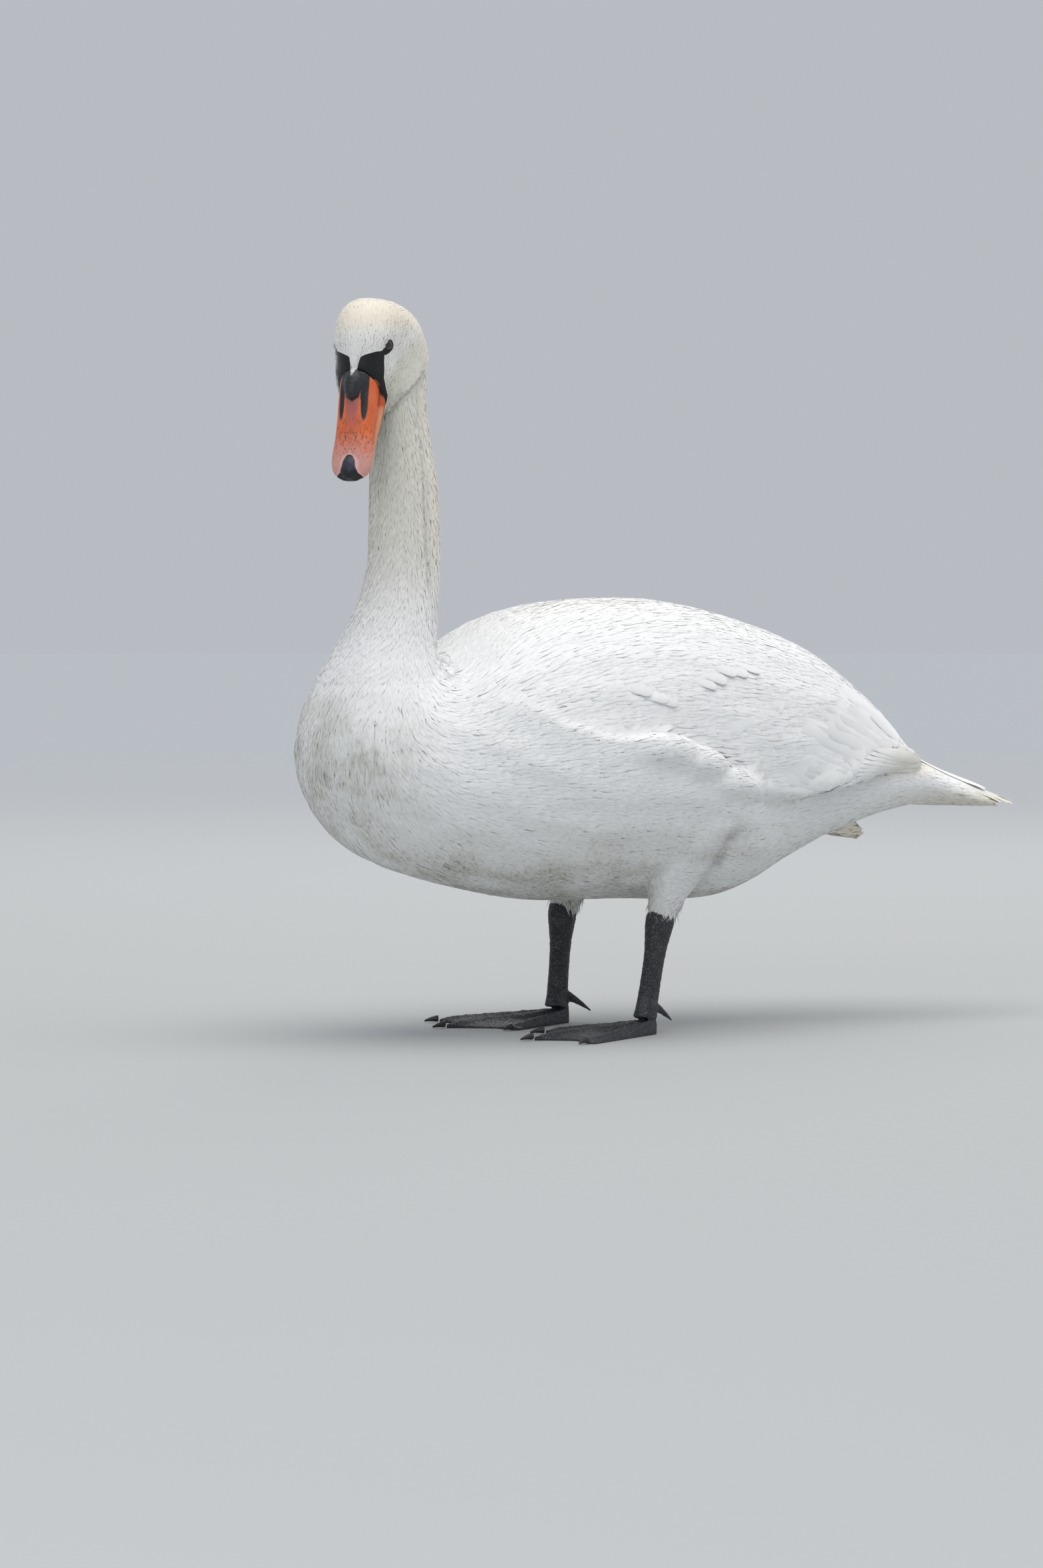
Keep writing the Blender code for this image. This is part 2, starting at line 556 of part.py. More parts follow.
def make_thigh(name, ankle, side, trunk_cutter):
    rings = []
    for out, back, z, across, lengthways in along(THIGH_ROWS, np.linspace(0, len(THIGH_ROWS) - 1, 9)):
        centre = Vector((ankle.x + side * out, ankle.y + back, z))
        rings.append(flat_ring(centre, Vector((1, 0, 0)), Vector((0, 1, 0)), across, lengthways, 16, 2))
    thigh = loft(name, rings, "white_plumage")
    cut(thigh, trunk_cutter)


def make_shank(name, ankle, foot):
    rings = []
    for share, across, lengthways in along(SHANK_ROWS, np.linspace(0, len(SHANK_ROWS) - 1, 11)):
        centre = foot.lerp(ankle, share)
        rings.append(flat_ring(centre, Vector((1, 0, 0)), Vector((0, 1, 0)), across, lengthways, 14, 2))
    return loft(name, rings, "leg_skin")


def toe_direction(angle, side):
    """Straight ahead turned outwards by an angle, on the left (+1) or right (-1) foot."""
    return Vector((sin(radians(angle)) * side, -cos(radians(angle)), 0))


def foot_reach(angle):
    """How far the foot reaches from its heel at an angle: full at a toe, less over the web."""
    for i in range(2):
        low, high = TOE_ANGLES[i : i + 2]
        if low <= angle <= high:
            share = (angle - low) / (high - low)
            straight = TOE_LENGTHS[i] * (1 - share) + TOE_LENGTHS[i + 1] * share
            return straight * (1 - WEB_NOTCH * sin(pi * share) ** WEB_CURVE)
    return TOE_LENGTHS[0 if angle < 0 else 2] * OUTER_REACH


def foot_height(angle, reach, at):
    """The height of the foot's top: a ridge on each toe, and thin web between."""
    height = WEB_THICKNESS
    for toe_angle, toe_length in zip(TOE_ANGLES, TOE_LENGTHS):
        away = at * sin(radians(abs(angle - toe_angle)))
        share = min(1.0, at / toe_length)
        knuckles = KNUCKLE_HEIGHT * cos(share * KNUCKLES * 2 * pi)
        ridge = HEEL_HEIGHT * (1 - share) + TOE_TIP_HEIGHT * share + knuckles * share - WEB_THICKNESS
        height = max(height, WEB_THICKNESS + ridge * exp(-((away / TOE_SPREAD) ** 2)))
    return min(height, HEEL_HEIGHT)


def make_foot(name, foot, side):
    """One webbed foot with a flat sole, as a fan from the heel over three toes."""
    edge = np.degrees(TOE_HALF_WIDTH / TOE_MIDDLE)
    angles = [TOE_ANGLES[0] - edge]
    for low, high in zip(TOE_ANGLES, TOE_ANGLES[1:]):
        angles += [low, low + edge, (low + high) / 2, high - edge]
    angles += [TOE_ANGLES[-1], TOE_ANGLES[-1] + edge]
    heel = foot + Vector((0, HEEL_BACK, 0))
    top, sole = [], []
    for share in FOOT_SHARES:
        for angle in angles:
            reach = foot_reach(angle)
            at = HEEL_START + (reach - HEEL_START) * share
            place = heel + toe_direction(angle, side) * at
            rim = RIM_HEIGHT if share == 1.0 or angle in (angles[0], angles[-1]) else 1.0
            top.append(place + Vector((0, 0, foot_height(angle, reach, at) * rim)))
            sole.append(place)
    rows, columns = len(FOOT_SHARES), len(angles)
    points = top + sole
    faces = list(grid_faces(rows, columns, False))
    faces += [tuple(i + len(top) for i in face[::-1]) for face in grid_faces(rows, columns, False)]
    rim = list(range(columns))
    rim += [i * columns + columns - 1 for i in range(1, rows)]
    rim += [(rows - 1) * columns + j for j in range(columns - 2, -1, -1)]
    rim += [i * columns for i in range(rows - 2, 0, -1)]
    for a, b in zip(rim, rim[1:] + rim[:1]):
        faces.append((a, b, b + len(top), a + len(top)))
    return add_solid(name, points, faces, "leg_skin")


def tapered_horn(name, base, ahead, length, radius, droop, look):
    """A claw or small toe: a curved cone with a flattened tip that ends above the floor."""
    across = ahead.cross(Vector((0, 0, 1))).normalized()
    rings = []
    for share in HORN_SHARES:
        centre = base + ahead * (length * share) - Vector((0, 0, droop * share**2))
        size = radius * (1 - HORN_TAPER * share)
        rings.append(flat_ring(centre, across, Vector((0, 0, 1)), size * HORN_FLATNESS, size, 8, 2))
    return loft(name, rings, look)


def make_leg(side_name, side, trunk_cutter):
    ankle, foot = LEGS[side_name]
    make_thigh("thigh_" + side_name, ankle, side, trunk_cutter)
    make_shank("shank_" + side_name, ankle, foot)
    make_foot("foot_" + side_name, foot, side)
    heel = foot + Vector((0, HEEL_BACK, 0))
    for toe, angle, length in zip(("inner", "middle", "outer"), TOE_ANGLES, TOE_LENGTHS):
        ahead = toe_direction(angle, side)
        base = heel + ahead * (length + 2 * GAP)
        base.z = CLAW_RADIUS + CLAW_CLEARANCE
        name = f"claw_{toe}_{side_name}"
        tapered_horn(name, base, ahead, CLAW_LENGTH, CLAW_RADIUS, CLAW_DROOP, "black_horn")
    outwards, backwards, upwards = HALLUX_AHEAD
    behind = Vector((outwards * side, backwards, upwards)).normalized()
    start = foot.lerp(ankle, HALLUX_AT) + Vector((HALLUX_OUT * side, HALLUX_BACK, 0))
    name = "hallux_" + side_name
    tapered_horn(name, start, behind, HALLUX_LENGTH, HALLUX_RADIUS, HALLUX_DROOP, "leg_skin")


def main():
    for old in list(bpy.data.objects):
        bpy.data.objects.remove(old)
    trunk = make_trunk()
    wings = [make_wing("wing_left", 1), make_wing("wing_right", -1)]
    neck_upper = make_neck()[-1]
    head = make_head()
    cut(neck_upper, grown_copy(head, GAP))
    upper, _ = make_bill()
    make_knob_and_nail(head, upper)
    make_eyes(head)
    tail = make_tail()
    trunk_cutter = grown_copy(trunk, GAP)
    tail_cutter = grown_copy(tail, GAP)
    make_blade("primaries_left", LEFT_BLADE, (trunk_cutter, grown_copy(wings[0], 3 * GAP), tail_cutter))
    make_blade("primaries_right", RIGHT_BLADE, (trunk_cutter, grown_copy(wings[1], 3 * GAP), tail_cutter))
    for side_name, side in (("left", 1), ("right", -1)):
        make_leg(side_name, side, trunk_cutter)


main()
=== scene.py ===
import math

import bmesh
import bpy
import numpy as np
from mathutils import Matrix, Vector, noise
from mathutils.bvhtree import BVHTree
from mathutils.kdtree import KDTree


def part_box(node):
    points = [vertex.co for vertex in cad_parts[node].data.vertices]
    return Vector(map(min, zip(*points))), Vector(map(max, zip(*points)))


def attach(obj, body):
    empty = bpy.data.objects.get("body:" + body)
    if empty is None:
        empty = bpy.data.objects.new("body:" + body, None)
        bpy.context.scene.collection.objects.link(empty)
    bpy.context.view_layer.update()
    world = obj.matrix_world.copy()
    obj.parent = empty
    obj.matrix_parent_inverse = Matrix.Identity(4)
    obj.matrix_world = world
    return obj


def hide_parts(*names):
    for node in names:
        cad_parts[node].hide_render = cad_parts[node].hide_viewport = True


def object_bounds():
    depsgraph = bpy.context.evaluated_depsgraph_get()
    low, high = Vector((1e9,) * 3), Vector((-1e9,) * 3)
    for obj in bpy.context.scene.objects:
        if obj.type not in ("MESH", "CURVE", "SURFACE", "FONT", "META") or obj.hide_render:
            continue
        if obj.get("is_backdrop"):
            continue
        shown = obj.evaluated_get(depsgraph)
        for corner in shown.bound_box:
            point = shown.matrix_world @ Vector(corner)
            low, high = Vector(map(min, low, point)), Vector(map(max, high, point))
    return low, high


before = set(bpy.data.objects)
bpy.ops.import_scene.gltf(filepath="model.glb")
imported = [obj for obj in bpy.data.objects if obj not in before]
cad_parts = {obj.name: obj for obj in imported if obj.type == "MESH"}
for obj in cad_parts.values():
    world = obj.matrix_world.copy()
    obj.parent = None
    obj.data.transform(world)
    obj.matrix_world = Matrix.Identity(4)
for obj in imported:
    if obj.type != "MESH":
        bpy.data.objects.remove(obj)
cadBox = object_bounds()
rng = np.random.default_rng(7)

# camera and studio
studio = {
    "cameraPlace": (4.6477, -2.8408, 0.479),
    "cameraTurn": 60.0,  # degrees round from the front
    "cameraDown": 2.68,
    "lens": 135.0,
    "floorGrey": (0.44, 0.45, 0.45),
    "floorFar": (0.405, 0.424, 0.448),
    "worldLight": 0.60,
    "skyPower": 2.15,
    "frontPower": 20.0,
    "rimPower": 14.0,
}

cameraData = bpy.data.cameras.new("camera")
cameraData.lens = studio["lens"]
cameraData.sensor_width = 36.0
cameraData.clip_start = 0.1
cameraData.clip_end = 60.0
camera = bpy.data.objects.new("camera", cameraData)
bpy.context.scene.collection.objects.link(camera)
camera.location = studio["cameraPlace"]
camera.rotation_euler = (math.radians(90 - studio["cameraDown"]), 0, math.radians(studio["cameraTurn"]))
bpy.context.scene.camera = camera
bpy.context.scene.view_settings.view_transform = "Standard"


def deselectAll():
    bpy.ops.object.select_all(action="DESELECT")


def only(piece):
    deselectAll()
    piece.select_set(True)
    bpy.context.view_layer.objects.active = piece


def applyModifier(piece, kind, **settings):
    only(piece)
    modifier = piece.modifiers.new(kind.lower(), kind)
    for key, value in settings.items():
        setattr(modifier, key, value)
    bpy.ops.object.modifier_apply(modifier=modifier.name)


def makeLook(name):
    look = bpy.data.materials.new(name)
    look.use_nodes = True
    return look, look.node_tree, look.node_tree.nodes["Principled BSDF"]


def addNode(tree, kind, inputs=None, **settings):
    node = tree.nodes.new("ShaderNode" + kind)
    for key, value in settings.items():
        setattr(node, key, value)
    for key, value in (inputs or {}).items():
        if isinstance(value, bpy.types.NodeSocket):
            tree.links.new(value, node.inputs[key])
        else:
            node.inputs[key].default_value = value
    return node


def maths(tree, operation, first, second=0.0):
    return addNode(tree, "Math", {0: first, 1: second}, operation=operation).outputs[0]


def plus(tree, first, second):
    return maths(tree, "ADD", first, second)


def times(tree, first, *others):
    for other in others:
        first = maths(tree, "MULTIPLY", first, other)
    return first


def rise(tree, value, low, high):
    # 0 below low, 1 above high, smooth between them; low may be the greater
    inputs = {"Value": value, "From Min": low, "From Max": high}
    return addNode(tree, "MapRange", inputs, interpolation_type="SMOOTHSTEP").outputs["Result"]


def blend(tree, share, first, second):
    node = addNode(tree, "Mix", data_type="RGBA")
    for socket, value in ((0, share), (6, first), (7, second)):
        if isinstance(value, bpy.types.NodeSocket):
            tree.links.new(value, node.inputs[socket])
        else:
            node.inputs[socket].default_value = value if socket == 0 else (*value, 1)
    return node.outputs[2]


def mixValue(tree, share, first, second):
    return addNode(tree, "Mix", {0: share, 2: first, 3: second}).outputs[0]


def noiseSocket(tree, scale, stretch=(1, 1, 1), detail=3.0, turn=(0, 0, 0)):
    place = addNode(tree, "TexCoord").outputs["Object"]
    place = addNode(tree, "Mapping", {"Vector": place, "Scale": stretch, "Rotation": turn}).outputs["Vector"]
    return addNode(tree, "TexNoise", {"Vector": place, "Scale": scale, "Detail": detail}).outputs["Fac"]


def lieNoise(tree, scale, long, detail=3.0):
    # noise drawn out along the feathers: upright on neck and breast, slanting on the shoulder, level behind
    place = addNode(tree, "SeparateXYZ", {0: addNode(tree, "TexCoord").outputs["Object"]})
    run = maths(tree, "SUBTRACT", times(tree, place.outputs[2], 1.6), place.outputs[1])
    level, slant, upright = (noiseSocket(tree, scale, (1, 1, long), detail, (turn, 0, 0))
                             for turn in (math.pi / 2, 0.75, 0.20))
    run = plus(tree, run, times(tree, noiseSocket(tree, 45), 0.16))
    mixed = mixValue(tree, rise(tree, run, 0.68, 0.71), level, slant)
    return mixValue(tree, rise(tree, run, 0.86, 0.94), mixed, upright)


def attributeSocket(tree, name):
    return addNode(tree, "Attribute", attribute_name=name).outputs["Fac"]


def painted(tree, shader, colour, roughness, bump=None):
    # roughness is a value or a socket; bump is its height, strength and distance
    tree.links.new(colour, shader.inputs["Base Color"])
    if isinstance(roughness, bpy.types.NodeSocket):
        tree.links.new(roughness, shader.inputs["Roughness"])
    else:
        shader.inputs["Roughness"].default_value = roughness
    if bump:
        node = addNode(tree, "Bump", dict(zip(("Height", "Strength", "Distance"), bump)))
        tree.links.new(node.outputs["Normal"], shader.inputs["Normal"])


def setPointValues(mesh, **values):
    for name, numbers in values.items():
        attribute = mesh.attributes.get(name) or mesh.attributes.new(name, "FLOAT", "POINT")
        attribute.data.foreach_set("value", np.asarray(numbers, np.float32))


def addLamp(name, kind, place, aim, power, colour, **settings):
    light = bpy.data.lights.new(name, kind)
    light.energy, light.color = power, colour
    for key, value in settings.items():
        setattr(light, key, value)
    lamp = bpy.data.objects.new(name, light)
    bpy.context.scene.collection.objects.link(lamp)
    lamp.location = place
    lamp.rotation_euler = Vector(aim).to_track_quat("-Z", "Y").to_euler()


for name, place, target, size, power, colour in (
        ("frontLight", (3.2, -3.4, 1.9), (0, -0.1, 0.4), 2.2, studio["frontPower"], (0.93, 0.96, 1.0)),
        ("rimLight", (-2.4, 1.8, 2.2), (0, 0, 0.4), 1.6, studio["rimPower"], (1.0, 0.97, 0.92))):
    addLamp(name, "AREA", place, Vector(target) - Vector(place), power, colour, shape="DISK", size=size)
addLamp("skyLight", "SUN", (0.4, 0.3, 3.2), (-0.16, -0.10, -1.0), studio["skyPower"], (1.0, 0.985, 0.96),
        angle=math.radians(70))

world = bpy.data.worlds.new("studioAir")
bpy.context.scene.world = world
world.use_nodes = True
air = world.node_tree.nodes["Background"]
air.inputs["Color"].default_value = (0.80, 0.84, 0.90, 1)
air.inputs["Strength"].default_value = studio["worldLight"]

deselectAll()
bpy.ops.mesh.primitive_circle_add(vertices=96, radius=14.0, fill_type="NGON", location=(0, 0, 0))
floor = bpy.context.object
floor.name = "floor"
floorLook, tree, shader = makeLook("floorPaint")
grain = addNode(tree, "TexNoise", {"Scale": 3.0}).outputs["Fac"]
colour = blend(tree, grain, [c * 0.97 for c in studio["floorGrey"]], studio["floorGrey"])
place = addNode(tree, "TexCoord").outputs["Object"]
reach = addNode(tree, "VectorMath", {0: place}, operation="LENGTH").outputs["Value"]
fade = addNode(tree, "MapRange", {"Value": reach, "From Min": 1.2, "From Max": 6.0}).outputs["Result"]
painted(tree, shader, blend(tree, fade, colour, studio["floorFar"]), 0.9)
floor.data.materials.append(floorLook)
floor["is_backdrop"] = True
print("studio ready")

# the head's own directions, and places in them
headTurn, headPitch = math.radians(42), math.radians(65)
forward = Vector((math.sin(headTurn) * math.cos(headPitch), -math.cos(headTurn) * math.cos(headPitch),
                  -math.sin(headPitch)))
crownward = Vector((math.sin(headTurn) * math.sin(headPitch), -math.cos(headTurn) * math.sin(headPitch),
                    math.cos(headPitch)))
leftward = crownward.cross(forward)


def boxMiddle(node):
    low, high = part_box(node)
    return (low + high) / 2


eyeMiddle = (boxMiddle("eye_left") + boxMiddle("eye_right")) / 2 - crownward * 0.002
headAxes = np.array([forward, crownward, leftward])


def headCoords(points):
    return (np.asarray(points, float) - np.array(eyeMiddle)) @ headAxes.T


def headDistance(points):
    return np.linalg.norm(headCoords(points), axis=1)


def headPoint(f, u, s):
    return eyeMiddle + forward * f + crownward * u + leftward * s


def smoothStep(low, high, x):
    t = np.clip((np.asarray(x, float) - low) / (high - low), 0, 1)
    return t * t * (3 - 2 * t)


def meshArrays(mesh):
    points = np.zeros(len(mesh.vertices) * 3)
    mesh.vertices.foreach_get("co", points)
    normals = np.zeros(len(mesh.vertices) * 3)
    mesh.vertices.foreach_get("normal", normals)
    return points.reshape(-1, 3), normals.reshape(-1, 3)


def surfaceTree(mesh, points):
    return BVHTree.FromPolygons([tuple(p) for p in points], [tuple(f.vertices) for f in mesh.polygons])


def creaseDistance(points, y, z):
    # from a line in the crease behind the neck's foot; across the body it counts less
    return np.linalg.norm((points - (0, y, z)) * (0.35, 1, 1), axis=1)


def setPoints(mesh, points):
    mesh.vertices.foreach_set("co", np.asarray(points, np.float32).ravel())
    mesh.update()


def solidCopy(node, grow):
    # a copy of a solid with its doubles merged, swollen a little so that it melts into its neighbours
    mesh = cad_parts[node].data.copy()
    shape = bmesh.new()
    shape.from_mesh(mesh)
    bmesh.ops.remove_doubles(shape, verts=shape.verts, dist=0.00001)
    bmesh.ops.recalc_face_normals(shape, faces=shape.faces)
    shape.normal_update()
    moves = [(v, v.normal * grow) for v in shape.verts]
    for v, move in moves:
        v.co += move
    shape.to_mesh(mesh)
    shape.free()
    piece = bpy.data.objects.new(node + "Copy", mesh)
    bpy.context.scene.collection.objects.link(piece)
    return piece


worldAxes = tuple(Vector(axis) for axis in ((1, 0, 0), (0, 1, 0), (0, 0, 1)))


def ellipsoid(name, centre, radii, axes=worldAxes, segments=32, rings=16):
    deselectAll()
    bpy.ops.mesh.primitive_uv_sphere_add(segments=segments, ring_count=rings, radius=1.0)
    piece = bpy.context.object
    piece.name = name
    matrix = Matrix([axis * radius for axis, radius in zip(axes, radii)]).transposed()
    piece.data.transform(Matrix.Translation(centre) @ matrix.to_4x4())
    return piece


def joined(pieces, name):
    deselectAll()
    for piece in pieces:
        piece.select_set(True)
    bpy.context.view_layer.objects.active = pieces[0]
    bpy.ops.object.join()
    whole = bpy.context.object
    whole.name = name
    whole.data.name = name
    whole.data.materials.clear()
    return whole


def largestIsland(piece):
    # drops shells closed inside the remeshed body
    shape = bmesh.new()
    shape.from_mesh(piece.data)
    shape.verts.ensure_lookup_table()
    seen = np.zeros(len(shape.verts), bool)
    best = []
    for start in range(len(shape.verts)):
        if seen[start]:
            continue
        seen[start] = True
        stack, island = [shape.verts[start]], []
        while stack:
            v = stack.pop()
            island.append(v)
            for e in v.link_edges:
                w = e.other_vert(v)
                if not seen[w.index]:
                    seen[w.index] = True
                    stack.append(w)
        if len(island) > len(best):
            best = island
    keep = set(v.index for v in best)
    bmesh.ops.delete(shape, geom=[v for v in shape.verts if v.index not in keep], context="VERTS")
    shape.to_mesh(piece.data)
    shape.free()
    piece.data.update()


# the skin: one surface over all the flesh, made at the plumage's outside and then drawn in
skinForm = {
    "mostTriangles": 190000,
    "voxel": 0.0031,
    "grow": 0.0012,
    "smoothPasses": 8,
    "broadPasses": 34,
    "fineReach": 0.086,  # from between the eyes
    "fineCuts": 2,
    "headPasses": 6,
    "fillPasses": 6,
    "creasePasses": 26,
    "bodyDepth": 0.0060,
    "neckDepth": 0.0040,
    "headDepth": 0.0016,
    "thicknessShare": 0.30,
    "tailEnd": 0.335,  # y behind which the tail is feathers alone
    "tailShrink": 0.45,
    "tailRoom": 0.2,
}
fleshNodes = ("trunk", "wing_left", "wing_right", "tail", "neck_lower", "neck_middle", "neck_upper",
              "head", "thigh_left", "thigh_right", "primaries_left", "primaries_right")
# tufts of the flank over the wing's lower edge: y, z, half length, half height, tilt in degrees
flankTufts = ((-0.092, 0.2590, 0.046, 0.0190, -3), (-0.048, 0.2470, 0.032, 0.0175, -14),
              (-0.012, 0.2270, 0.0390, 0.0175, -6))
flankRise = 0.0078
# round fillers below the skin
fillers = {
    "jowl": (0.024, -0.0245, 0.0105), "jowlRadii": (0.031, 0.0135, 0.0165),
    # y and top z of the back between the wings
    "back": ((-0.150, 0.3895), (-0.131, 0.3945), (-0.106, 0.3975), (-0.081, 0.3985), (-0.056, 0.3985),
             (-0.031, 0.3975), (-0.008, 0.3940), (0.014, 0.3905), (0.039, 0.3845), (0.060, 0.3790),
             (0.079, 0.3720), (0.104, 0.3625), (0.128, 0.3510), (0.152, 0.3370), (0.176, 0.3190),
             (0.198, 0.3000)),
    "backRadii": (0.034, 0.034, 0.030),
    "foot": (0, -0.2475, 0.3360), "footRadii": (0.020, 0.0080, 0.0080),  # behind the neck's foot
}

parts = [solidCopy(node, skinForm["grow"]) for node in fleshNodes]
parts += [solidCopy(node, 0.0004) for node in ("eye_left", "eye_right")]
for way in (1, -1):
    f, u, side = fillers["jowl"]
    centre = headPoint(f, u, side * way)
    parts.append(ellipsoid("jowl", centre, fillers["jowlRadii"], (forward, crownward, leftward)))
for y, z in fillers["back"]:
    parts.append(ellipsoid("back", Vector((0, y, z - 0.030)), fillers["backRadii"]))
parts.append(ellipsoid("crease", Vector(fillers["foot"]), fillers["footRadii"]))
skin = joined(parts, "skin")
applyModifier(skin, "REMESH", mode="VOXEL", voxel_size=skinForm["voxel"])
largestIsland(skin)
points, normals = meshArrays(skin.data)
print("skin remeshed", len(points))


def nodeNearness(points, nodes):
    # distance of each point to the nearest of the named nodes
    places, faces = [], []
    for node in nodes:
        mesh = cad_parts[node].data
        start = len(places)
        places += [tuple(v.co) for v in mesh.vertices]
        faces += [tuple(start + i for i in f.vertices) for f in mesh.polygons]
    tree = BVHTree.FromPolygons(places, faces)
    return np.array([tree.find_nearest(Vector(p))[3] for p in points])


# fan-like sections of the bird from the tail's tip to the nape: upper y, z; lower y, z
sectionEnds = np.array((
    (0.3760, 0.1975, 0.3760, 0.1955), (0.3620, 0.2040, 0.3620, 0.1995), (0.3420, 0.2105, 0.3420, 0.2000),
    (0.3170, 0.2200, 0.3170, 0.1995), (0.2890, 0.2310, 0.2890, 0.1985), (0.2510, 0.2500, 0.2570, 0.1990),
    (0.2160, 0.2910, 0.2210, 0.1920), (0.1760, 0.3240, 0.1790, 0.1800), (0.1280, 0.3540, 0.1290, 0.1620),
    (0.0790, 0.3740, 0.0790, 0.1370), (0.0390, 0.3860, 0.0390, 0.1210), (0.0140, 0.3920, 0.0090, 0.1180),
    (-0.0310, 0.3990, -0.0410, 0.1200), (-0.0810, 0.4000, -0.0990, 0.1210), (-0.1310, 0.3960, -0.1610, 0.1230),
    (-0.1710, 0.3860, -0.2160, 0.1330), (-0.2030, 0.3730, -0.2720, 0.1470), (-0.2280, 0.3560, -0.3190, 0.1670),
    (-0.2440, 0.3430, -0.3550, 0.2000), (-0.2520, 0.3370, -0.3740, 0.2410), (-0.2550, 0.3380, -0.3740, 0.2840),
    (-0.2560, 0.3460, -0.3590, 0.3250), (-0.2545, 0.3650, -0.3370, 0.3610), (-0.2520, 0.3920, -0.3215, 0.3950),
    (-0.2490, 0.4300, -0.3120, 0.4300), (-0.2495, 0.4800, -0.3100, 0.4800), (-0.2560, 0.5300, -0.3100, 0.5290),
    (-0.2630, 0.5750, -0.3110, 0.5730), (-0.2635, 0.6020, -0.3120, 0.5880), (-0.2685, 0.6350, -0.3130, 0.5980),
    (-0.2860, 0.6590, -0.3140, 0.6040), (-0.3100, 0.6660, -0.3160, 0.6090),
))
sectionSteps = 6
foldPlane = {"normal": np.array((0.0, -0.701, 0.713)), "offset": 0.6213}  # under the cheeks


def sectionFlow(points):
    # direction in which feathers lie, from the head over the neck and body to the tail
    rows = np.arange(len(sectionEnds))
    fine = np.linspace(0, len(rows) - 1, (len(rows) - 1) * sectionSteps + 1)
    ends = np.stack([np.interp(fine, rows, sectionEnds[:, c]) for c in range(4)], axis=1)
    flow = np.zeros((len(points), 3))
    for start in range(0, len(points), 20000):
        p = points[start:start + 20000, 1:]
        span = ends[None, :, :2] - ends[None, :, 2:]
        reach = p[:, None, :] - ends[None, :, 2:]
        across = span[..., 0] * reach[..., 1] - span[..., 1] * reach[..., 0]
        share = (span * reach).sum(2) / (span ** 2).sum(2)
        crossing = (across[:, :-1] * across[:, 1:] <= 0)
        crossing &= (share[:, :-1] > -0.6) & (share[:, :-1] < 1.6)
        misfit = np.where(crossing, np.abs(share[:, :-1] - 0.5), 9.0)
        k = misfit.argmin(axis=1)
        found = misfit[np.arange(len(p)), k] < 9.0
        t = np.clip(share[np.arange(len(p)), k], 0, 1)[:, None]
        here = ends[k, 2:] * (1 - t) + ends[k, :2] * t
        there = ends[k + 1, 2:] * (1 - t) + ends[k + 1, :2] * t
        flow[start:start + 20000, 1:] = np.where(found[:, None], here - there, (1.0, -0.15))
    return flow / np.maximum(np.linalg.norm(flow, axis=1, keepdims=True), 1e-9)


def tangent(vectors, normals):
    flat = vectors - normals * (vectors * normals).sum(axis=1, keepdims=True)
    return flat / np.maximum(np.linalg.norm(flat, axis=1, keepdims=True), 1e-9)


def foldHeight(points):
    return points @ foldPlane["normal"] - foldPlane["offset"]


def nearest(tree, places):
    return np.array([tree.find(p)[1] for p in places])


def smoothed(piece, passes, weights=None):
    # relaxes the surface, everywhere or by a weight for each point
    settings = {"factor": 0.5, "iterations": passes}
    if weights is not None:
        group = piece.vertex_groups.new(name="relax")
        for share in np.linspace(0.1, 1.0, 10):
            chosen = np.nonzero((weights > share - 0.1) & (weights <= share))[0]
            group.add([int(i) for i in chosen], float(share), "REPLACE")
        settings["vertex_group"] = "relax"
    applyModifier(piece, "SMOOTH", **settings)
    piece.vertex_groups.clear()


fromHead = headDistance(points)
nearWing = nodeNearness(points, ("wing_left", "wing_right"))
nearThigh = nodeNearness(points, ("thigh_left", "thigh_right"))
nearTrunk = nodeNearness(points, ("trunk", "tail"))
nearTail = nodeNearness(points, ("tail",))
nearBlade = nodeNearness(points, ("primaries_left", "primaries_right"))
onWing = nearWing < nearTrunk
wingEdge = np.where(onWing, nearTrunk, nearWing)
broad = smoothStep(0.004, 0.014, wingEdge) * smoothStep(0.02, 0.04, nearThigh)
broad *= (smoothStep(0.06, 0.09, fromHead) * smoothStep(0.01, 0.04, nearTail)
          * smoothStep(0.003, 0.012, nearBlade))
for y, z, long, tall, tilt in flankTufts:
    near = ((points[:, 1] - y) / (long + 0.010)) ** 2 + ((points[:, 2] - z) / (tall + 0.010)) ** 2
    broad *= smoothStep(0.7, 1.4, near)
broad *= np.where(points[:, 2] > 0.43, 0.35, 1.0)
front = smoothStep(-0.115, -0.150, points[:, 1])
front *= smoothStep(0.20, 0.22, points[:, 2]) * smoothStep(0.36, 0.33, points[:, 2])
broad = np.maximum(broad, 0.55 * front)
smoothed(skin, skinForm["smoothPasses"])
smoothed(skin, skinForm["broadPasses"], broad)

# the head and the flank's edge are cut finer before they are shaped
for cuts in range(skinForm["fineCuts"]):
    only(skin)
    bpy.ops.object.mode_set(mode="EDIT")
    bpy.ops.mesh.select_all(action="DESELECT")
    bpy.ops.object.mode_set(mode="OBJECT")
    points = meshArrays(skin.data)[0]
    fine = headDistance(points) < skinForm["fineReach"] - 0.004 * cuts
    if cuts == 0:
        fine |= ((np.abs(points[:, 1] + 0.05) < 0.10) & (np.abs(points[:, 2] - 0.243) < 0.042)
                 & (np.abs(points[:, 0]) > 0.08))
    skin.data.vertices.foreach_set("select", fine)
    bpy.ops.object.mode_set(mode="EDIT")
    bpy.ops.mesh.select_mode(type="VERT")
    bpy.ops.mesh.subdivide(number_cuts=1, smoothness=0.0)
    bpy.ops.object.mode_set(mode="OBJECT")
only(skin)
bpy.ops.object.mode_set(mode="EDIT")
bpy.ops.mesh.select_all(action="SELECT")
bpy.ops.mesh.quads_convert_to_tris()
bpy.ops.object.mode_set(mode="OBJECT")
points = meshArrays(skin.data)[0]
smoothed(skin, skinForm["headPasses"], smoothStep(0.09, 0.07, headDistance(points)))
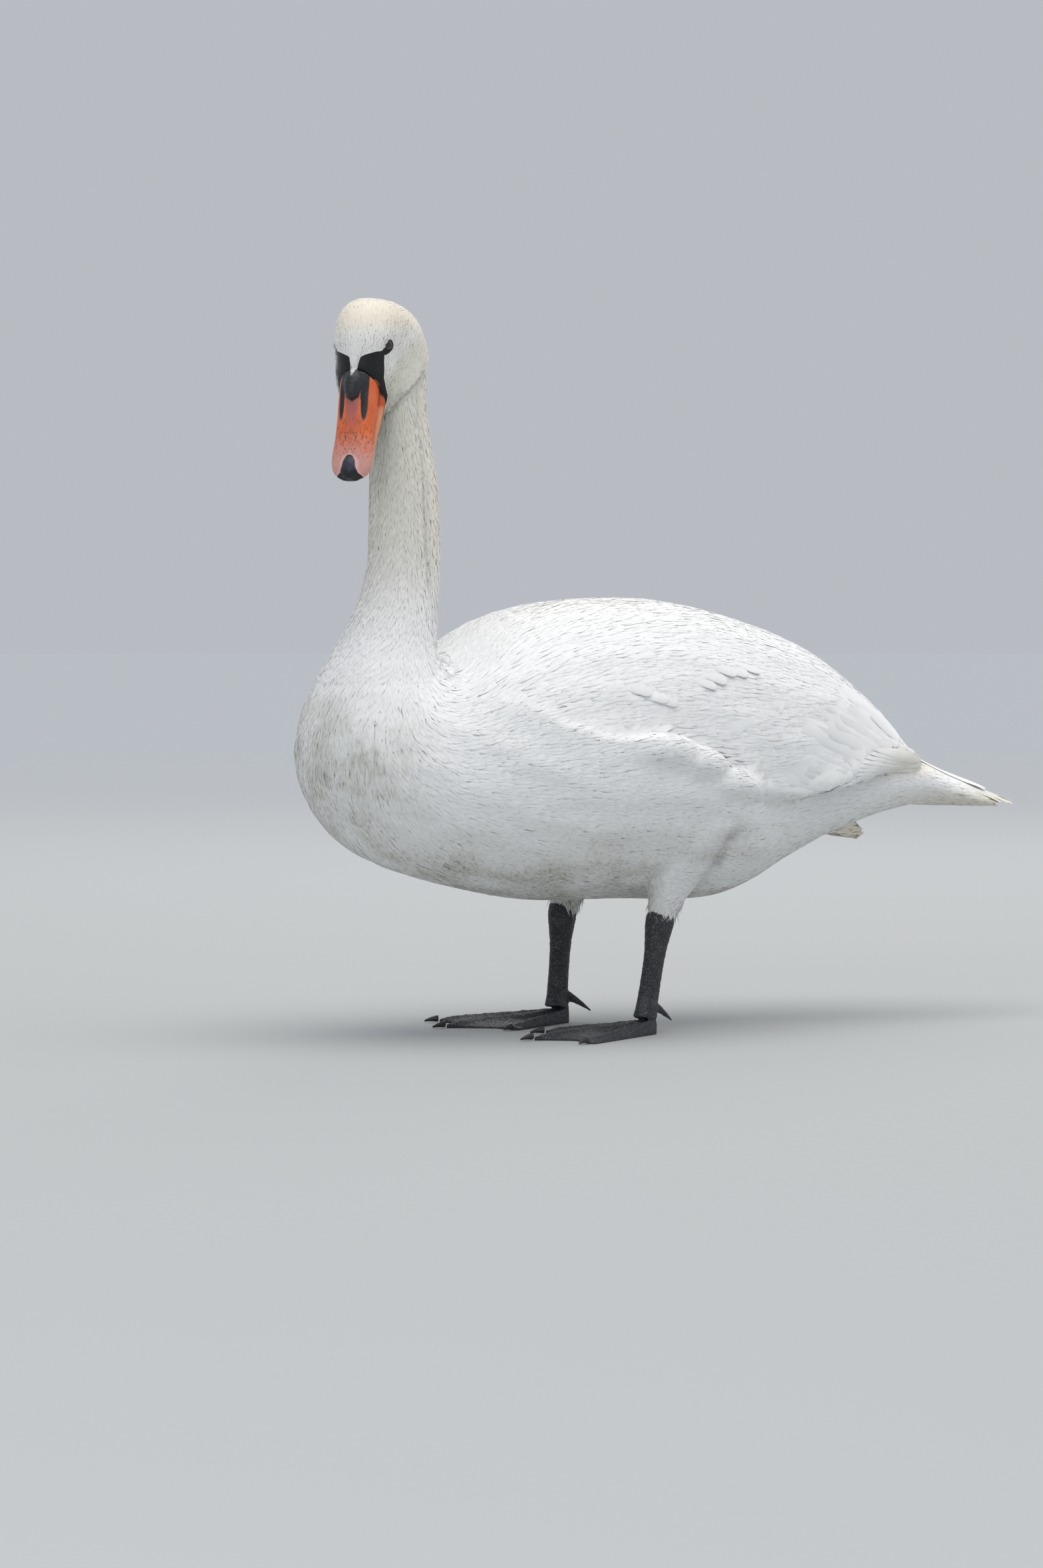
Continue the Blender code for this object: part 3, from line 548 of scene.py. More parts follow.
print("skin smoothed", len(points), len(skin.data.polygons))

# the folded wings are flat sheets down to their edges, and the back has no furrow between them
fills = {
    "step": 0.004, "limit": 0.009,
    "leftEdge": ((-0.030, 0.262), (0.0, 0.238), (0.019, 0.2145), (0.055, 0.2130), (0.078, 0.2120),
                 (0.089, 0.2175), (0.116, 0.2255), (0.135, 0.2330), (0.164, 0.2395), (0.200, 0.2390),
                 (0.2525, 0.2365)),
    "rightEdge": ((-0.030, 0.262), (0.0, 0.242), (0.25, 0.240)),
    "upper": ((-0.030, 0.360), (0.079, 0.355), (0.128, 0.335), (0.176, 0.305), (0.216, 0.275), (0.25, 0.250)),
}


def hullLine(places, heights):
    # upper convex hull of a line of heights
    hull = []
    for p in zip(places, heights):
        while len(hull) > 1 and ((p[1] - hull[-2][1]) * (hull[-1][0] - hull[-2][0])
                                 >= (hull[-1][1] - hull[-2][1]) * (p[0] - hull[-2][0])):
            hull.pop()
        hull.append(p)
    return np.interp(places, *np.array(hull).T)


def fillHollows(points, shell, stations, low, high, across, up, steps=33):
    # how far the surface rises when each section across the body is filled to its hull
    across, up = np.array(across, float), np.array(up, float)
    shares = np.linspace(0, 1, steps)
    heights = np.zeros((len(stations), steps))
    for i, y in enumerate(stations):
        for j, share in enumerate(shares):
            start = across * (low[i] + (high[i] - low[i]) * share) + up * 0.6 + (0, y, 0)
            hit = shell.ray_cast(Vector(start), Vector(-up))
            heights[i, j] = np.array(hit[0]) @ up if hit[0] is not None else 0.0
    gaps = np.clip([hullLine(shares, row) - row for row in heights], 0, fills["limit"])
    for turn in range(3):
        gaps[1:-1] = (gaps[:-2] + 2 * gaps[1:-1] + gaps[2:]) / 4
    gaps *= np.minimum(1, np.minimum(np.arange(len(gaps)), np.arange(len(gaps))[::-1]) / 4)[:, None]
    y, c = points[:, 1], points @ across
    base, span = np.interp(y, stations, low), np.interp(y, stations, np.subtract(high, low))
    row = np.clip((y - stations[0]) / fills["step"], 0, len(stations) - 1.001)
    column = np.clip((c - base) / span * (steps - 1), 0, steps - 1.001)
    i, j = row.astype(int), column.astype(int)
    a, b = row - i, column - j

    def read(grid):
        return ((grid[i, j] * (1 - b) + grid[i, j + 1] * b) * (1 - a)
                + (grid[i + 1, j] * (1 - b) + grid[i + 1, j + 1] * b) * a)

    inside = (y > stations[0]) & (y < stations[-1]) & (c > base) & (c < base + span)
    return read(gaps) * inside * smoothStep(0.006, 0.003, np.abs(points @ up - read(heights)))


points = meshArrays(skin.data)[0]
shell = surfaceTree(skin.data, points)
stations = np.arange(-0.030, 0.250, fills["step"])
filled = np.zeros(len(points))
for edgeName, way in (("leftEdge", 1), ("rightEdge", -1)):
    low = np.interp(stations, *np.array(fills[edgeName]).T)
    high = np.interp(stations, *np.array(fills["upper"]).T)
    gap = fillHollows(points, shell, stations, low, high, (0, 0, 1), (way, 0, 0))
    points[:, 0] += gap * way
    filled = np.maximum(filled, gap)
shell = surfaceTree(skin.data, points)
stations = np.arange(-0.215, 0.190, fills["step"])
low = np.full(len(stations), -0.055)
gap = fillHollows(points, shell, stations, low, -low, (1, 0, 0), (0, 0, 1))
points[:, 2] += gap
filled = np.maximum(filled, gap)
# the far wing's tip ends on a slant
farEnd = {"y": 0.2350, "z": 0.188, "slantY": 0.740, "slantZ": 0.673, "side": -0.045, "top": 0.1965,
          "reach": 0.035}
beyond = (points[:, 1] - farEnd["y"]) * farEnd["slantY"] + (points[:, 2] - farEnd["z"]) * farEnd["slantZ"]
onEnd = (points[:, 0] < farEnd["side"]) & (points[:, 2] < farEnd["top"])
beyond = np.maximum(beyond, 0) * onEnd * (np.abs(points[:, 1] - farEnd["y"]) < farEnd["reach"])
points[:, 1] -= beyond * farEnd["slantY"]
points[:, 2] -= beyond * farEnd["slantZ"]
setPoints(skin.data, points)
smoothed(skin, skinForm["fillPasses"], smoothStep(0.0002, 0.0012, filled) * 0.8)
smoothed(skin, skinForm["creasePasses"], smoothStep(0.034, 0.016, creaseDistance(points, -0.245, 0.350)))


# folds of the cheeks, furrows of the neck
folds = {
    "eyeIn": 0.0012, "browOut": 0.0012, "napeIn": 0.0024, "grooveIn": 0.0010,
    "neckRipple": 0.0009, "bodyRipple": 0.0008,
    "cheekOut": 0.0030, "cheekReach": 0.020, "underIn": 0.0016, "underReach": 0.007,
    "furrowDeep": 0.0030, "furrowWide": 0.0040, "ridgeOut": 0.0014,
    "furrowLine": ((0.36, -0.262), (0.40, -0.2705), (0.44, -0.2725), (0.50, -0.2745), (0.54, -0.2760),
                   (0.575, -0.2770), (0.60, -0.2740), (0.64, -0.2700)),
}
points, normals = meshArrays(skin.data)
height = foldHeight(points)
place = headCoords(points)
sideways = np.abs(place[:, 2])
fromHead = np.linalg.norm(place, axis=1)
cheek = smoothStep(0.105, 0.080, fromHead) * smoothStep(-0.246, -0.262, points[:, 1])
cheek *= smoothStep(0.060, 0.048, place[:, 0])
out = np.where(height > 0, folds["cheekOut"] * np.exp(-(np.maximum(height, 0) / folds["cheekReach"]) ** 2),
               -folds["underIn"] * np.exp(np.minimum(height, 0) / folds["underReach"]))
move = out * cheek
lineZ, lineY = np.array(folds["furrowLine"]).T
furrowY = np.interp(points[:, 2], lineZ, lineY)
away = points[:, 1] - furrowY
furrow = smoothStep(0.365, 0.42, points[:, 2]) * smoothStep(0.615, 0.590, points[:, 2])
furrow *= np.abs(normals[:, 0]) > 0.3
move -= folds["furrowDeep"] * furrow * np.exp(-(away / folds["furrowWide"]) ** 2)
move += folds["ridgeOut"] * furrow * np.exp(-((away - 0.0085) / 0.006) ** 2)
# hollow before the eye, brow over it
f, u = place[:, 0], place[:, 1]
hollow = folds["eyeIn"] * np.exp(-(((f - 0.016) / 0.009) ** 2 + ((u - 0.004) / 0.006) ** 2))
brow = folds["browOut"] * np.exp(-(((f + 0.002) / 0.010) ** 2 + ((u - 0.0125) / 0.004) ** 2))
move -= hollow * (sideways > 0.012)
move += brow * (sideways > 0.012)
# slimmer behind the cheeks
slim = folds["napeIn"] * np.exp(-((f / 0.024) ** 2 + ((u + 0.018) / 0.020) ** 2))
move -= slim * smoothStep(0.020, 0.034, sideways) * (height > -0.004)
# rounded tufts at the flank's upper edge, steep above and behind
lobe, groove = np.zeros(len(points)), np.zeros(len(points))
for y, z, long, tall, tilt in flankTufts:
    turn = math.radians(tilt)
    dy, dz = points[:, 1] - y, points[:, 2] - z
    a = (dy * math.cos(turn) + dz * math.sin(turn)) / long
    b = (dz * math.cos(turn) - dy * math.sin(turn)) / tall
    q = np.hypot(a, b)
    swell = np.clip(1.08 - q ** 2, 0, 1) * smoothStep(-1.0, 0.0, a)
    lobe = np.maximum(lobe, swell * np.maximum(smoothStep(-1.1, 0.1, b), smoothStep(0.2, 0.6, a)))
    ring = smoothStep(1.02, 1.12, q) * smoothStep(1.6, 1.15, q) * (b > -0.3) * smoothStep(-0.9, -0.2, a)
    groove = np.maximum(groove, ring)
sideOut = smoothStep(0.085, 0.095, np.abs(points[:, 0]))
move += (flankRise * lobe - folds["grooveIn"] * groove * (lobe < 0.02)) * sideOut
# hollows behind the thighs: x, y, z, reach, depth
hollows = ((0.106, 0.004, 0.1760, 0.015, 0.0085), (0.090, -0.002, 0.1560, 0.012, 0.0065),
           (0.085, -0.083, 0.150, 0.010, 0.0020))
for x, y, z, reach, deep in hollows:
    away = np.linalg.norm(points - np.outer(np.sign(points[:, 0]), (x, 0, 0)) - (0, y, z), axis=1)
    move -= deep * np.exp(-(away / reach) ** 2)
# soft ridges along the plumage
neckShare = smoothStep(0.30, 0.42, points[:, 2]) * smoothStep(0.095, 0.11, fromHead)
ridges = np.array([noise.noise(Vector((x * 130, y * 130, z * 20))) * share
                   + noise.noise(Vector((x * 55, y * 16, z * 75))) * (1 - share)
                   for (x, y, z), share in zip(points, neckShare)])
ridges *= folds["neckRipple"] * neckShare + folds["bodyRipple"] * (1 - neckShare)
move += ridges * smoothStep(0.080, 0.10, fromHead) * smoothStep(0.13, 0.15, points[:, 2])
setPoints(skin.data, points + normals * move[:, None])

# what the coat follows: the plumage's outside, its normals, the lie of the feathers and their depth
points, normals = outerPoints, outerNormals = meshArrays(skin.data)
headPlace = headCoords(points)
fromHead = np.linalg.norm(headPlace, axis=1)
headShare = smoothStep(-0.046, -0.026, headPlace[:, 0]) * (foldHeight(points) > 0)
headShare = (headShare * smoothStep(0.085, 0.07, fromHead))[:, None]
backward = np.tile(-np.array(forward), (len(points), 1))
lie = tangent(sectionFlow(points), normals) * (1 - headShare) + tangent(backward, normals) * headShare
outerLie = tangent(lie, normals)
depth = skinForm["neckDepth"] - skinForm["bodyDepth"]
depth = skinForm["bodyDepth"] + depth * smoothStep(0.36, 0.42, points[:, 2])
depth += (skinForm["headDepth"] - depth) * smoothStep(0.085, 0.060, fromHead)
tree = surfaceTree(skin.data, points)
thick = np.full(len(points), 0.1)
for i in np.nonzero(fromHead > 0.05)[0]:
    hit = tree.ray_cast(Vector(points[i] - normals[i] * 0.0005), Vector(-normals[i]), 0.1)
    if hit[0] is not None:
        thick[i] = hit[3]
depth = np.minimum(depth, skinForm["thicknessShare"] * thick)
tailShare = smoothStep(0.26, 0.29, points[:, 1]) * (np.abs(points[:, 0]) < 0.056) * (thick < 0.05)
depth = np.where(tailShare > 0, np.maximum(depth, 0.40 * tailShare * thick), depth)
# the skin lies close under the coat in the crease behind the neck's foot
depth = depth * (0.15 + 0.85 * smoothStep(0.014, 0.032, creaseDistance(points, -0.236, 0.350)))
outerDepth = depth
outerShell = tree
# painted shade in hollows: how far a relaxed copy of the surface stands over it
edges = np.zeros(len(skin.data.edges) * 2, np.int32)
skin.data.edges.foreach_get("vertices", edges)
edges = edges.reshape(-1, 2)
relaxed = points.copy()
valence = np.bincount(edges.ravel(), minlength=len(points))[:, None]
for turn in range(14):
    total = np.zeros_like(relaxed)
    for axis in range(3):
        total[:, axis] = (np.bincount(edges[:, 0], relaxed[edges[:, 1], axis], len(points))
                          + np.bincount(edges[:, 1], relaxed[edges[:, 0], axis], len(points)))
    relaxed = relaxed * 0.4 + total / valence * 0.6
paintedCreaseShade = smoothStep(0.0002, 0.0016, ((relaxed - points) * normals).sum(axis=1))
outerTree = KDTree(len(points))
for i, p in enumerate(points):
    outerTree.insert(p, i)
outerTree.balance()
nearWing = nodeNearness(points, ("wing_left", "wing_right"))
nearTrunk = nodeNearness(points, ("trunk", "tail"))
nearThigh = nodeNearness(points, ("thigh_left", "thigh_right"))
outerWing = (nearWing < nearTrunk) & (points[:, 2] < 0.42)
print("skin folded")

plumage = {
    "white": (0.875, 0.875, 0.868),
    "neck": (0.80, 0.775, 0.70),
    "cream": (0.88, 0.81, 0.69),
    "face": (0.87, 0.865, 0.84),
    # painted shade colour under the jaw
    "throat": (0.66, 0.665, 0.56),
    # soil colours: on the belly they also stand for painted shade
    "soilAndShade": (0.36, 0.34, 0.26),
    "darkSoilAndShade": (0.13, 0.14, 0.09),
    "stain": (0.60, 0.60, 0.54),
    "tailCream": (0.86, 0.81, 0.69),
    # painted shade colour for the rear underside
    "tailUnderShade": (0.66, 0.61, 0.49),
    "roughness": 0.72,
    "sheen": 0.25,
}


def plumageColour(tree):
    # the same markings on the skin and on every tuft, by place
    place = addNode(tree, "SeparateXYZ", {0: addNode(tree, "TexCoord").outputs["Object"]})
    x, y, z = place.outputs
    colour = blend(tree, rise(tree, z, 0.35, 0.47), plumage["white"], plumage["neck"])
    nape = times(tree, rise(tree, y, -0.280, -0.262), rise(tree, z, 0.40, 0.50), 0.6)
    colour = blend(tree, nape, colour, plumage["cream"])
    # painted shade under the jaw, in streaks down the front of the upper neck
    throat = times(tree, rise(tree, y, -0.275, -0.300), rise(tree, z, 0.46, 0.56),
                   noiseSocket(tree, 120, (1, 1, 0.18)))
    colour = blend(tree, throat, colour, plumage["throat"])
    onHead = rise(tree, maths(tree, "SUBTRACT", z, y), 0.905, 0.925)
    colour = blend(tree, onHead, colour, plumage["face"])
    colour = blend(tree, times(tree, rise(tree, z, 0.628, 0.650), onHead), colour, plumage["cream"])
    colour = blend(tree, rise(tree, y, 0.31, 0.385), colour, plumage["tailCream"])
    # painted shade on the rear underside, towards the tail
    low = times(tree, rise(tree, y, 0.20, 0.33), rise(tree, z, 0.222, 0.200), 0.8)
    colour = blend(tree, low, colour, plumage["tailUnderShade"])
    farTip = times(tree, rise(tree, y, 0.195, 0.235), rise(tree, z, 0.205, 0.195),
                   rise(tree, x, -0.03, -0.045), 0.9)
    nearTip = times(tree, rise(tree, y, 0.160, 0.235), rise(tree, z, 0.264, 0.252),
                    rise(tree, z, 0.224, 0.234), 0.55)
    colour = blend(tree, maths(tree, "MAXIMUM", farTip, nearTip), colour, plumage["tailCream"])
    # soil on the breast; soil with painted shade on the belly, darker towards the bottom; in streaks along the
    # feathers
    streak = plus(tree, lieNoise(tree, 330, 0.14, 4.0), times(tree, attributeSocket(tree, "tone"), 0.16))
    patch = noiseSocket(tree, 24)
    breast = times(tree, rise(tree, y, -0.285, -0.365), rise(tree, z, 0.345, 0.26), 0.85)
    belly = rise(tree, z, 0.205, 0.130)
    soilAndShadeMask = times(tree, maths(tree, "MAXIMUM", breast, belly), rise(tree, y, 0.12, 0.02))
    thigh = times(tree, rise(tree, maths(tree, "ABSOLUTE", x), 0.050, 0.062), rise(tree, y, -0.070, -0.054),
                  rise(tree, z, 0.168, 0.150))
    soilAndShadeMask = maths(tree, "SUBTRACT", soilAndShadeMask, times(tree, soilAndShadeMask, thigh))
    streakPattern = plus(tree, streak, times(tree, patch, 0.75))
    # stain, soil and dark soil: real soiling on the breast, soiling with painted shade on the belly
    colour = blend(tree, times(tree, soilAndShadeMask, rise(tree, patch, 0.2, 0.9)), colour, plumage["stain"])
    colour = blend(tree, times(tree, soilAndShadeMask, rise(tree, streakPattern, 0.84, 1.24), 0.55), colour, plumage["soilAndShade"])
    return blend(tree, times(tree, soilAndShadeMask, rise(tree, streakPattern, 1.16, 1.24), 0.65), colour, plumage["darkSoilAndShade"])


def plumageLook(name):
    # every tuft has its own tone, and those in hollows are darker with painted shade
    look, tree, shader = makeLook(name)
    shade = plus(tree, times(tree, attributeSocket(tree, "tone"), 0.07), 0.965)
    shade = maths(tree, "SUBTRACT", shade, times(tree, attributeSocket(tree, "hollow"), 0.24))
    grey = addNode(tree, "CombineXYZ", {0: shade, 1: shade, 2: shade}).outputs[0]
    colour = addNode(tree, "VectorMath", {0: plumageColour(tree), 1: grey}, operation="MULTIPLY").outputs[0]
    shader.inputs["Sheen Weight"].default_value = plumage["sheen"]
    shader.inputs["Sheen Roughness"].default_value = 0.5
    shader.inputs["Specular IOR Level"].default_value = 0.25
    ripple = plus(tree, times(tree, lieNoise(tree, 700, 0.10), 0.25), lieNoise(tree, 150, 0.18))
    painted(tree, shader, colour, plumage["roughness"], (ripple, 0.5, 0.0016))
    return look


# where the face is bare and black, as a distance in front of the feathers' edge
face = {
    "topEdge": ((0.0, 0.0375), (0.0018, 0.0335), (0.0034, 0.0270), (0.0045, 0.0228), (0.0058, 0.0198),
                (0.0075, 0.0186), (0.0115, 0.0165), (0.0150, 0.0145), (0.0215, 0.0104), (0.0230, 0.0085),
                (0.040, 0.0085)),
    "cheekEdge": ((-0.050, 0.0620), (-0.035, 0.0570), (-0.026, 0.0524), (-0.0219, 0.0499), (-0.0198, 0.0453),
                  (-0.0173, 0.0409), (-0.0105, 0.0366), (-0.0033, 0.0301), (-0.0001, 0.0216), (0.0033, 0.0132),
                  (0.0060, 0.0090), (0.030, 0.0090)),
    "orangeEdge": ((-0.050, 0.0620), (-0.0219, 0.0492), (-0.0194, 0.0467), (-0.0167, 0.0443), (-0.0133, 0.0428),
                   (-0.0050, 0.0380), (0.0020, 0.0346), (0.0060, 0.0600)),
    "lidMiddle": (0.0036, 0.0034), "lidLong": 0.0080, "lidTall": 0.0042, "lidTilt": 0.36,
}


def bareFace(points):
    f, u, side = headCoords(points).T
    side = np.abs(side)
    topL, topF = np.array(face["topEdge"]).T
    cheekU, cheekF = np.array(face["cheekEdge"]).T
    edge = np.interp(side, topL, topF)
    lower = np.interp(u, cheekU, cheekF)
    share = smoothStep(0.0035, 0.0085, u)
    bare = f - (edge * share + lower * (1 - share))
    df, du = f - face["lidMiddle"][0], u - face["lidMiddle"][1]
    c, s = math.cos(face["lidTilt"]), math.sin(face["lidTilt"])
    along, across = df * c + du * s, du * c - df * s
    lid = 1 - np.sqrt((along / face["lidLong"]) ** 2 + (across / face["lidTall"]) ** 2)
    lid = np.where(side > 0.012, lid * face["lidTall"], -0.02)
    return np.where(np.linalg.norm([f, u, side], axis=0) < 0.075, np.maximum(bare, lid), -0.02)


# the skin's look: plumage colour under the coat, black bare skin before the eyes
skinLook, tree, shader = makeLook("bareSkin")
bare = rise(tree, attributeSocket(tree, "bare"), -0.0004, 0.0002)
black = blend(tree, noiseSocket(tree, 300), (0.005, 0.005, 0.006), (0.018, 0.018, 0.019))
shader.inputs["Specular IOR Level"].default_value = 0.32
black = blend(tree, rise(tree, attributeSocket(tree, "gape"), -0.0005, 0.0005), black, (0.66, 0.14, 0.045))
painted(tree, shader, blend(tree, bare, plumageColour(tree), black), mixValue(tree, bare, 0.8, 0.42),
        (noiseSocket(tree, 900, detail=4.0), 0.35, 0.0008))

# bill: upper half with knob and nail in one, lower half apart
bill = {
    "voxel": 0.0008, "rimOut": 0.0004, "nailOut": 0.0007, "nailGroove": 0.0003,
    "nostril": (0.0580, 0.0106), "nostrilLong": 0.0125, "nostrilWide": 0.0022, "nostrilDeep": 0.0018,
    "knobEdge": ((0.0, 0.030), (0.036, 0.0125), (0.040, 0.0095), (0.048, 0.0078), (0.055, 0.0058),
                 (0.0585, 0.0), (0.2, -0.02)),
    "baseEdge": ((-0.030, 0.0480), (-0.0194, 0.0467), (-0.0167, 0.0443), (-0.0133, 0.0428), (-0.0050, 0.0380),
                 (0.0020, 0.0346), (0.0065, 0.0335), (0.0080, 0.0350), (0.02, 0.0370)),
    "nailEdge": ((0.0, -0.02), (0.1030, -0.002), (0.1045, 0.0030), (0.1090, 0.0056), (0.1150, 0.0064),
                 (0.1190, 0.0085), (0.1215, 0.0130), (0.2, 0.03)),
    "orange": ((0.70, 0.100, 0.025), (0.84, 0.190, 0.050)), "pink": (0.66, 0.32, 0.27),
    # the rim and nail ring colours are painted highlights
    "ridge": (0.36, 0.12, 0.13), "debris": (0.055, 0.060, 0.018), "rim": (0.78, 0.50, 0.30),
    "nailHighlight": (0.82, 0.56, 0.54),
    "black": ((0.010, 0.010, 0.013), (0.030, 0.030, 0.036)), "speckle": (0.60, 0.61, 0.61),
    "nail": ((0.020, 0.024, 0.045), (0.006, 0.006, 0.007)),
}


def remeshed(nodes, name, grow, voxel, passes):
    piece = joined([solidCopy(node, grow) for node in nodes], name)
    applyModifier(piece, "REMESH", mode="VOXEL", voxel_size=voxel)
    smoothed(piece, passes)
    return piece


upperBill = remeshed(("bill_upper", "bill_knob", "bill_nail"), "upperBill", 0.0004, bill["voxel"], 10)
points, normals = meshArrays(upperBill.data)
f, u, side = headCoords(points).T
wide = np.abs(side)
above = smoothStep(-0.2, 0.3, normals @ np.array(crownward))
nostril = ((f - bill["nostril"][0]) / bill["nostrilLong"]) ** 2
nostril += ((wide - bill["nostril"][1]) / bill["nostrilWide"]) ** 2
move = -bill["nostrilDeep"] * np.exp(-nostril ** 1.5) * above
rim = np.exp(-((np.sqrt(nostril) - 1.55) / 0.4) ** 2)
move += bill["rimOut"] * rim * above
nail = np.interp(f, *np.array(bill["nailEdge"]).T) - wide
move += bill["nailOut"] * smoothStep(-0.0004, 0.0010, nail) * above
move -= bill["nailGroove"] * np.exp(-((nail + 0.0008) / 0.0009) ** 2) * above
setPoints(upperBill.data, points + normals * move[:, None])
knobDark = np.interp(f, *np.array(bill["knobEdge"]).T) - wide
baseDark = np.interp(u, *np.array(bill["baseEdge"]).T) - f
nostrilDark = (1.25 - np.sqrt(nostril)) * bill["nostrilWide"]
nostrilTop = np.where((f > 0.03) & (f < 0.056), 0.0030 - np.abs(wide - 0.0102), -0.01)
setPointValues(upperBill.data, dark=np.maximum.reduce([knobDark, baseDark, nostrilDark, nostrilTop]), nail=nail,
               ahead=f, sideways=wide, upward=u)

lowerBill = remeshed(("bill_lower",), "lowerBill", 0.0002, 0.0009, 6)
f, u, side = headCoords(meshArrays(lowerBill.data)[0]).T
setPointValues(lowerBill.data, dark=np.maximum(0.0405 - f, -0.0222 - u), nail=f - 0.20,
               ahead=f, sideways=np.abs(side), upward=u)

look, tree, shader = makeLook("billSheath")
ahead, sideways, upward = (attributeSocket(tree, name) for name in ("ahead", "sideways", "upward"))
nail = attributeSocket(tree, "nail")
blotch = noiseSocket(tree, 150, detail=4.0)
colour = blend(tree, noiseSocket(tree, 60), *bill["orange"])
pinkness = rise(tree, plus(tree, ahead, times(tree, blotch, 0.030)), 0.094, 0.125)
colour = blend(tree, pinkness, colour, bill["pink"])
ridge = times(tree, rise(tree, sideways, 0.0065, 0.0045), rise(tree, ahead, 0.092, 0.062), 0.75)
colour = blend(tree, ridge, colour, bill["ridge"])
# scraps that dried on the sheath, drawn out along it
along = addNode(tree, "CombineXYZ", {0: times(tree, ahead, 190.0), 1: times(tree, sideways, 620.0),
                                     2: times(tree, upward, 620.0)}).outputs[0]
debris = addNode(tree, "TexNoise", {"Vector": along, "Scale": 1.0, "Detail": 4.0, "Distortion": 1.2})
debris = debris.outputs["Fac"]
window = times(tree, rise(tree, ahead, 0.064, 0.080), rise(tree, ahead, 0.110, 0.098))
stain = times(tree, rise(tree, debris, 0.55, 0.66), window, 0.85)
colour = blend(tree, stain, colour, bill["debris"])
# painted highlights: a paler rim, a light ring round the nail
rimHighlight = times(tree, rise(tree, upward, -0.0150, -0.0175), rise(tree, ahead, 0.046, 0.056), 0.45)
colour = blend(tree, rimHighlight, colour, bill["rim"])
nailHighlight = times(tree, rise(tree, nail, -0.0040, -0.0016), rise(tree, ahead, 0.096, 0.102), 0.55)
colour = blend(tree, nailHighlight, colour, bill["nailHighlight"])
# black base and knob with a pale speckled wedge on top, black nail
wedge = plus(tree, sideways, times(tree, maths(tree, "SUBTRACT", ahead, 0.030), 0.36))
tip = plus(tree, rise(tree, wedge, 0.0052, 0.0012), times(tree, noiseSocket(tree, 1500, detail=2.0), 1.6))
tip = rise(tree, tip, 1.28, 1.42)
dark = rise(tree, attributeSocket(tree, "dark"), -0.0004, 0.0004)
colour = blend(tree, dark, colour, blend(tree, blotch, *bill["black"]))
colour = blend(tree, times(tree, tip, rise(tree, ahead, 0.041, 0.039)), colour, bill["speckle"])
nailColour = blend(tree, rise(tree, ahead, 0.116, 0.121), *bill["nail"])
colour = blend(tree, rise(tree, nail, -0.0002, 0.0006), colour, nailColour)
grain = plus(tree, noiseSocket(tree, 260, detail=5.0), times(tree, debris, 0.7))
painted(tree, shader, colour, mixValue(tree, blotch, 0.22, 0.52), (grain, 0.5, 0.0011))
for piece, nodes in ((upperBill, ("bill_upper", "bill_knob", "bill_nail")), (lowerBill, ("bill_lower",))):
    piece.data.materials.append(look)
    only(piece)
    bpy.ops.object.shade_smooth()
    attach(piece, "root")
    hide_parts(*nodes)
print("bill ready")

# eyes and lids
eyes = {"radius": 0.0060, "lidRadius": 0.0066, "lidThick": 0.0006, "openLong": 0.0052, "openTall": 0.0040,
        "bulge": 0.0005}
eyeLook, tree, shader = makeLook("eyeBall")
ring = rise(tree, attributeSocket(tree, "fromPupil"), 0.0019, 0.0023)
iris = blend(tree, noiseSocket(tree, 900), (0.020, 0.010, 0.006), (0.045, 0.022, 0.012))
painted(tree, shader, blend(tree, ring, (0.002, 0.002, 0.002), iris), 0.04)
shader.inputs["Coat Weight"].default_value = 0.6
lidLook, tree, shader = makeLook("lidSkin")
painted(tree, shader, blend(tree, noiseSocket(tree, 700), (0.010, 0.010, 0.011), (0.030, 0.030, 0.032)), 0.45,
        (noiseSocket(tree, 1400), 0.4, 0.0005))
for node, way in (("eye_left", 1), ("eye_right", -1)):
    centre = boxMiddle(node)
    out = (leftward * way + forward * 0.22 + crownward * 0.10).normalized()
    ahead = (forward - out * forward.dot(out)).normalized()
    up = out.cross(ahead) * (-way)
    ball = ellipsoid(node.replace("eye", "eyeball"), centre, (eyes["radius"],) * 3, (ahead, up, out), 40, 24)
    points, normals = meshArrays(ball.data)
    arms = points - np.array(centre)
    reach = arms @ np.array(out)
    fromPupil = np.sqrt(np.maximum(np.linalg.norm(arms, axis=1) ** 2 - reach ** 2, 0))
    bulge = eyes["bulge"] * smoothStep(0.0034, 0.0, fromPupil) * (reach > 0)
    setPoints(ball.data, points + np.array(out) * bulge[:, None])
    setPointValues(ball.data, fromPupil=np.where(reach > 0, fromPupil, 0.01))
    ball.data.materials.append(eyeLook)
    only(ball)
    bpy.ops.object.shade_smooth()
    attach(ball, "root")
    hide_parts(node)
    lid = ellipsoid(node.replace("eye", "eyelid"), centre, (eyes["lidRadius"],) * 3, (ahead, up, out), 72, 48)
    shape = bmesh.new()
    shape.from_mesh(lid.data)
    gone = []
    for facet in shape.faces:
        q = facet.calc_center_median() - centre
        a, b, c = q.dot(ahead), q.dot(up), q.dot(out)
        tilt = face["lidTilt"] * 0.5
        a, b = a * math.cos(tilt) + b * math.sin(tilt), b * math.cos(tilt) - a * math.sin(tilt)
        opening = (abs(a) / eyes["openLong"]) ** 1.6 + (abs(b) / eyes["openTall"]) ** 2
        if c < 0.0012 or opening < 1:
            gone.append(facet)
    bmesh.ops.delete(shape, geom=gone, context="FACES")
    shape.to_mesh(lid.data)
    shape.free()
    applyModifier(lid, "SMOOTH", factor=0.5, iterations=3)
    applyModifier(lid, "SOLIDIFY", thickness=eyes["lidThick"], offset=-1.0)
    lid.data.materials.append(lidLook)
    only(lid)
    bpy.ops.object.shade_smooth()
    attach(lid, "root")
print("eyes ready")

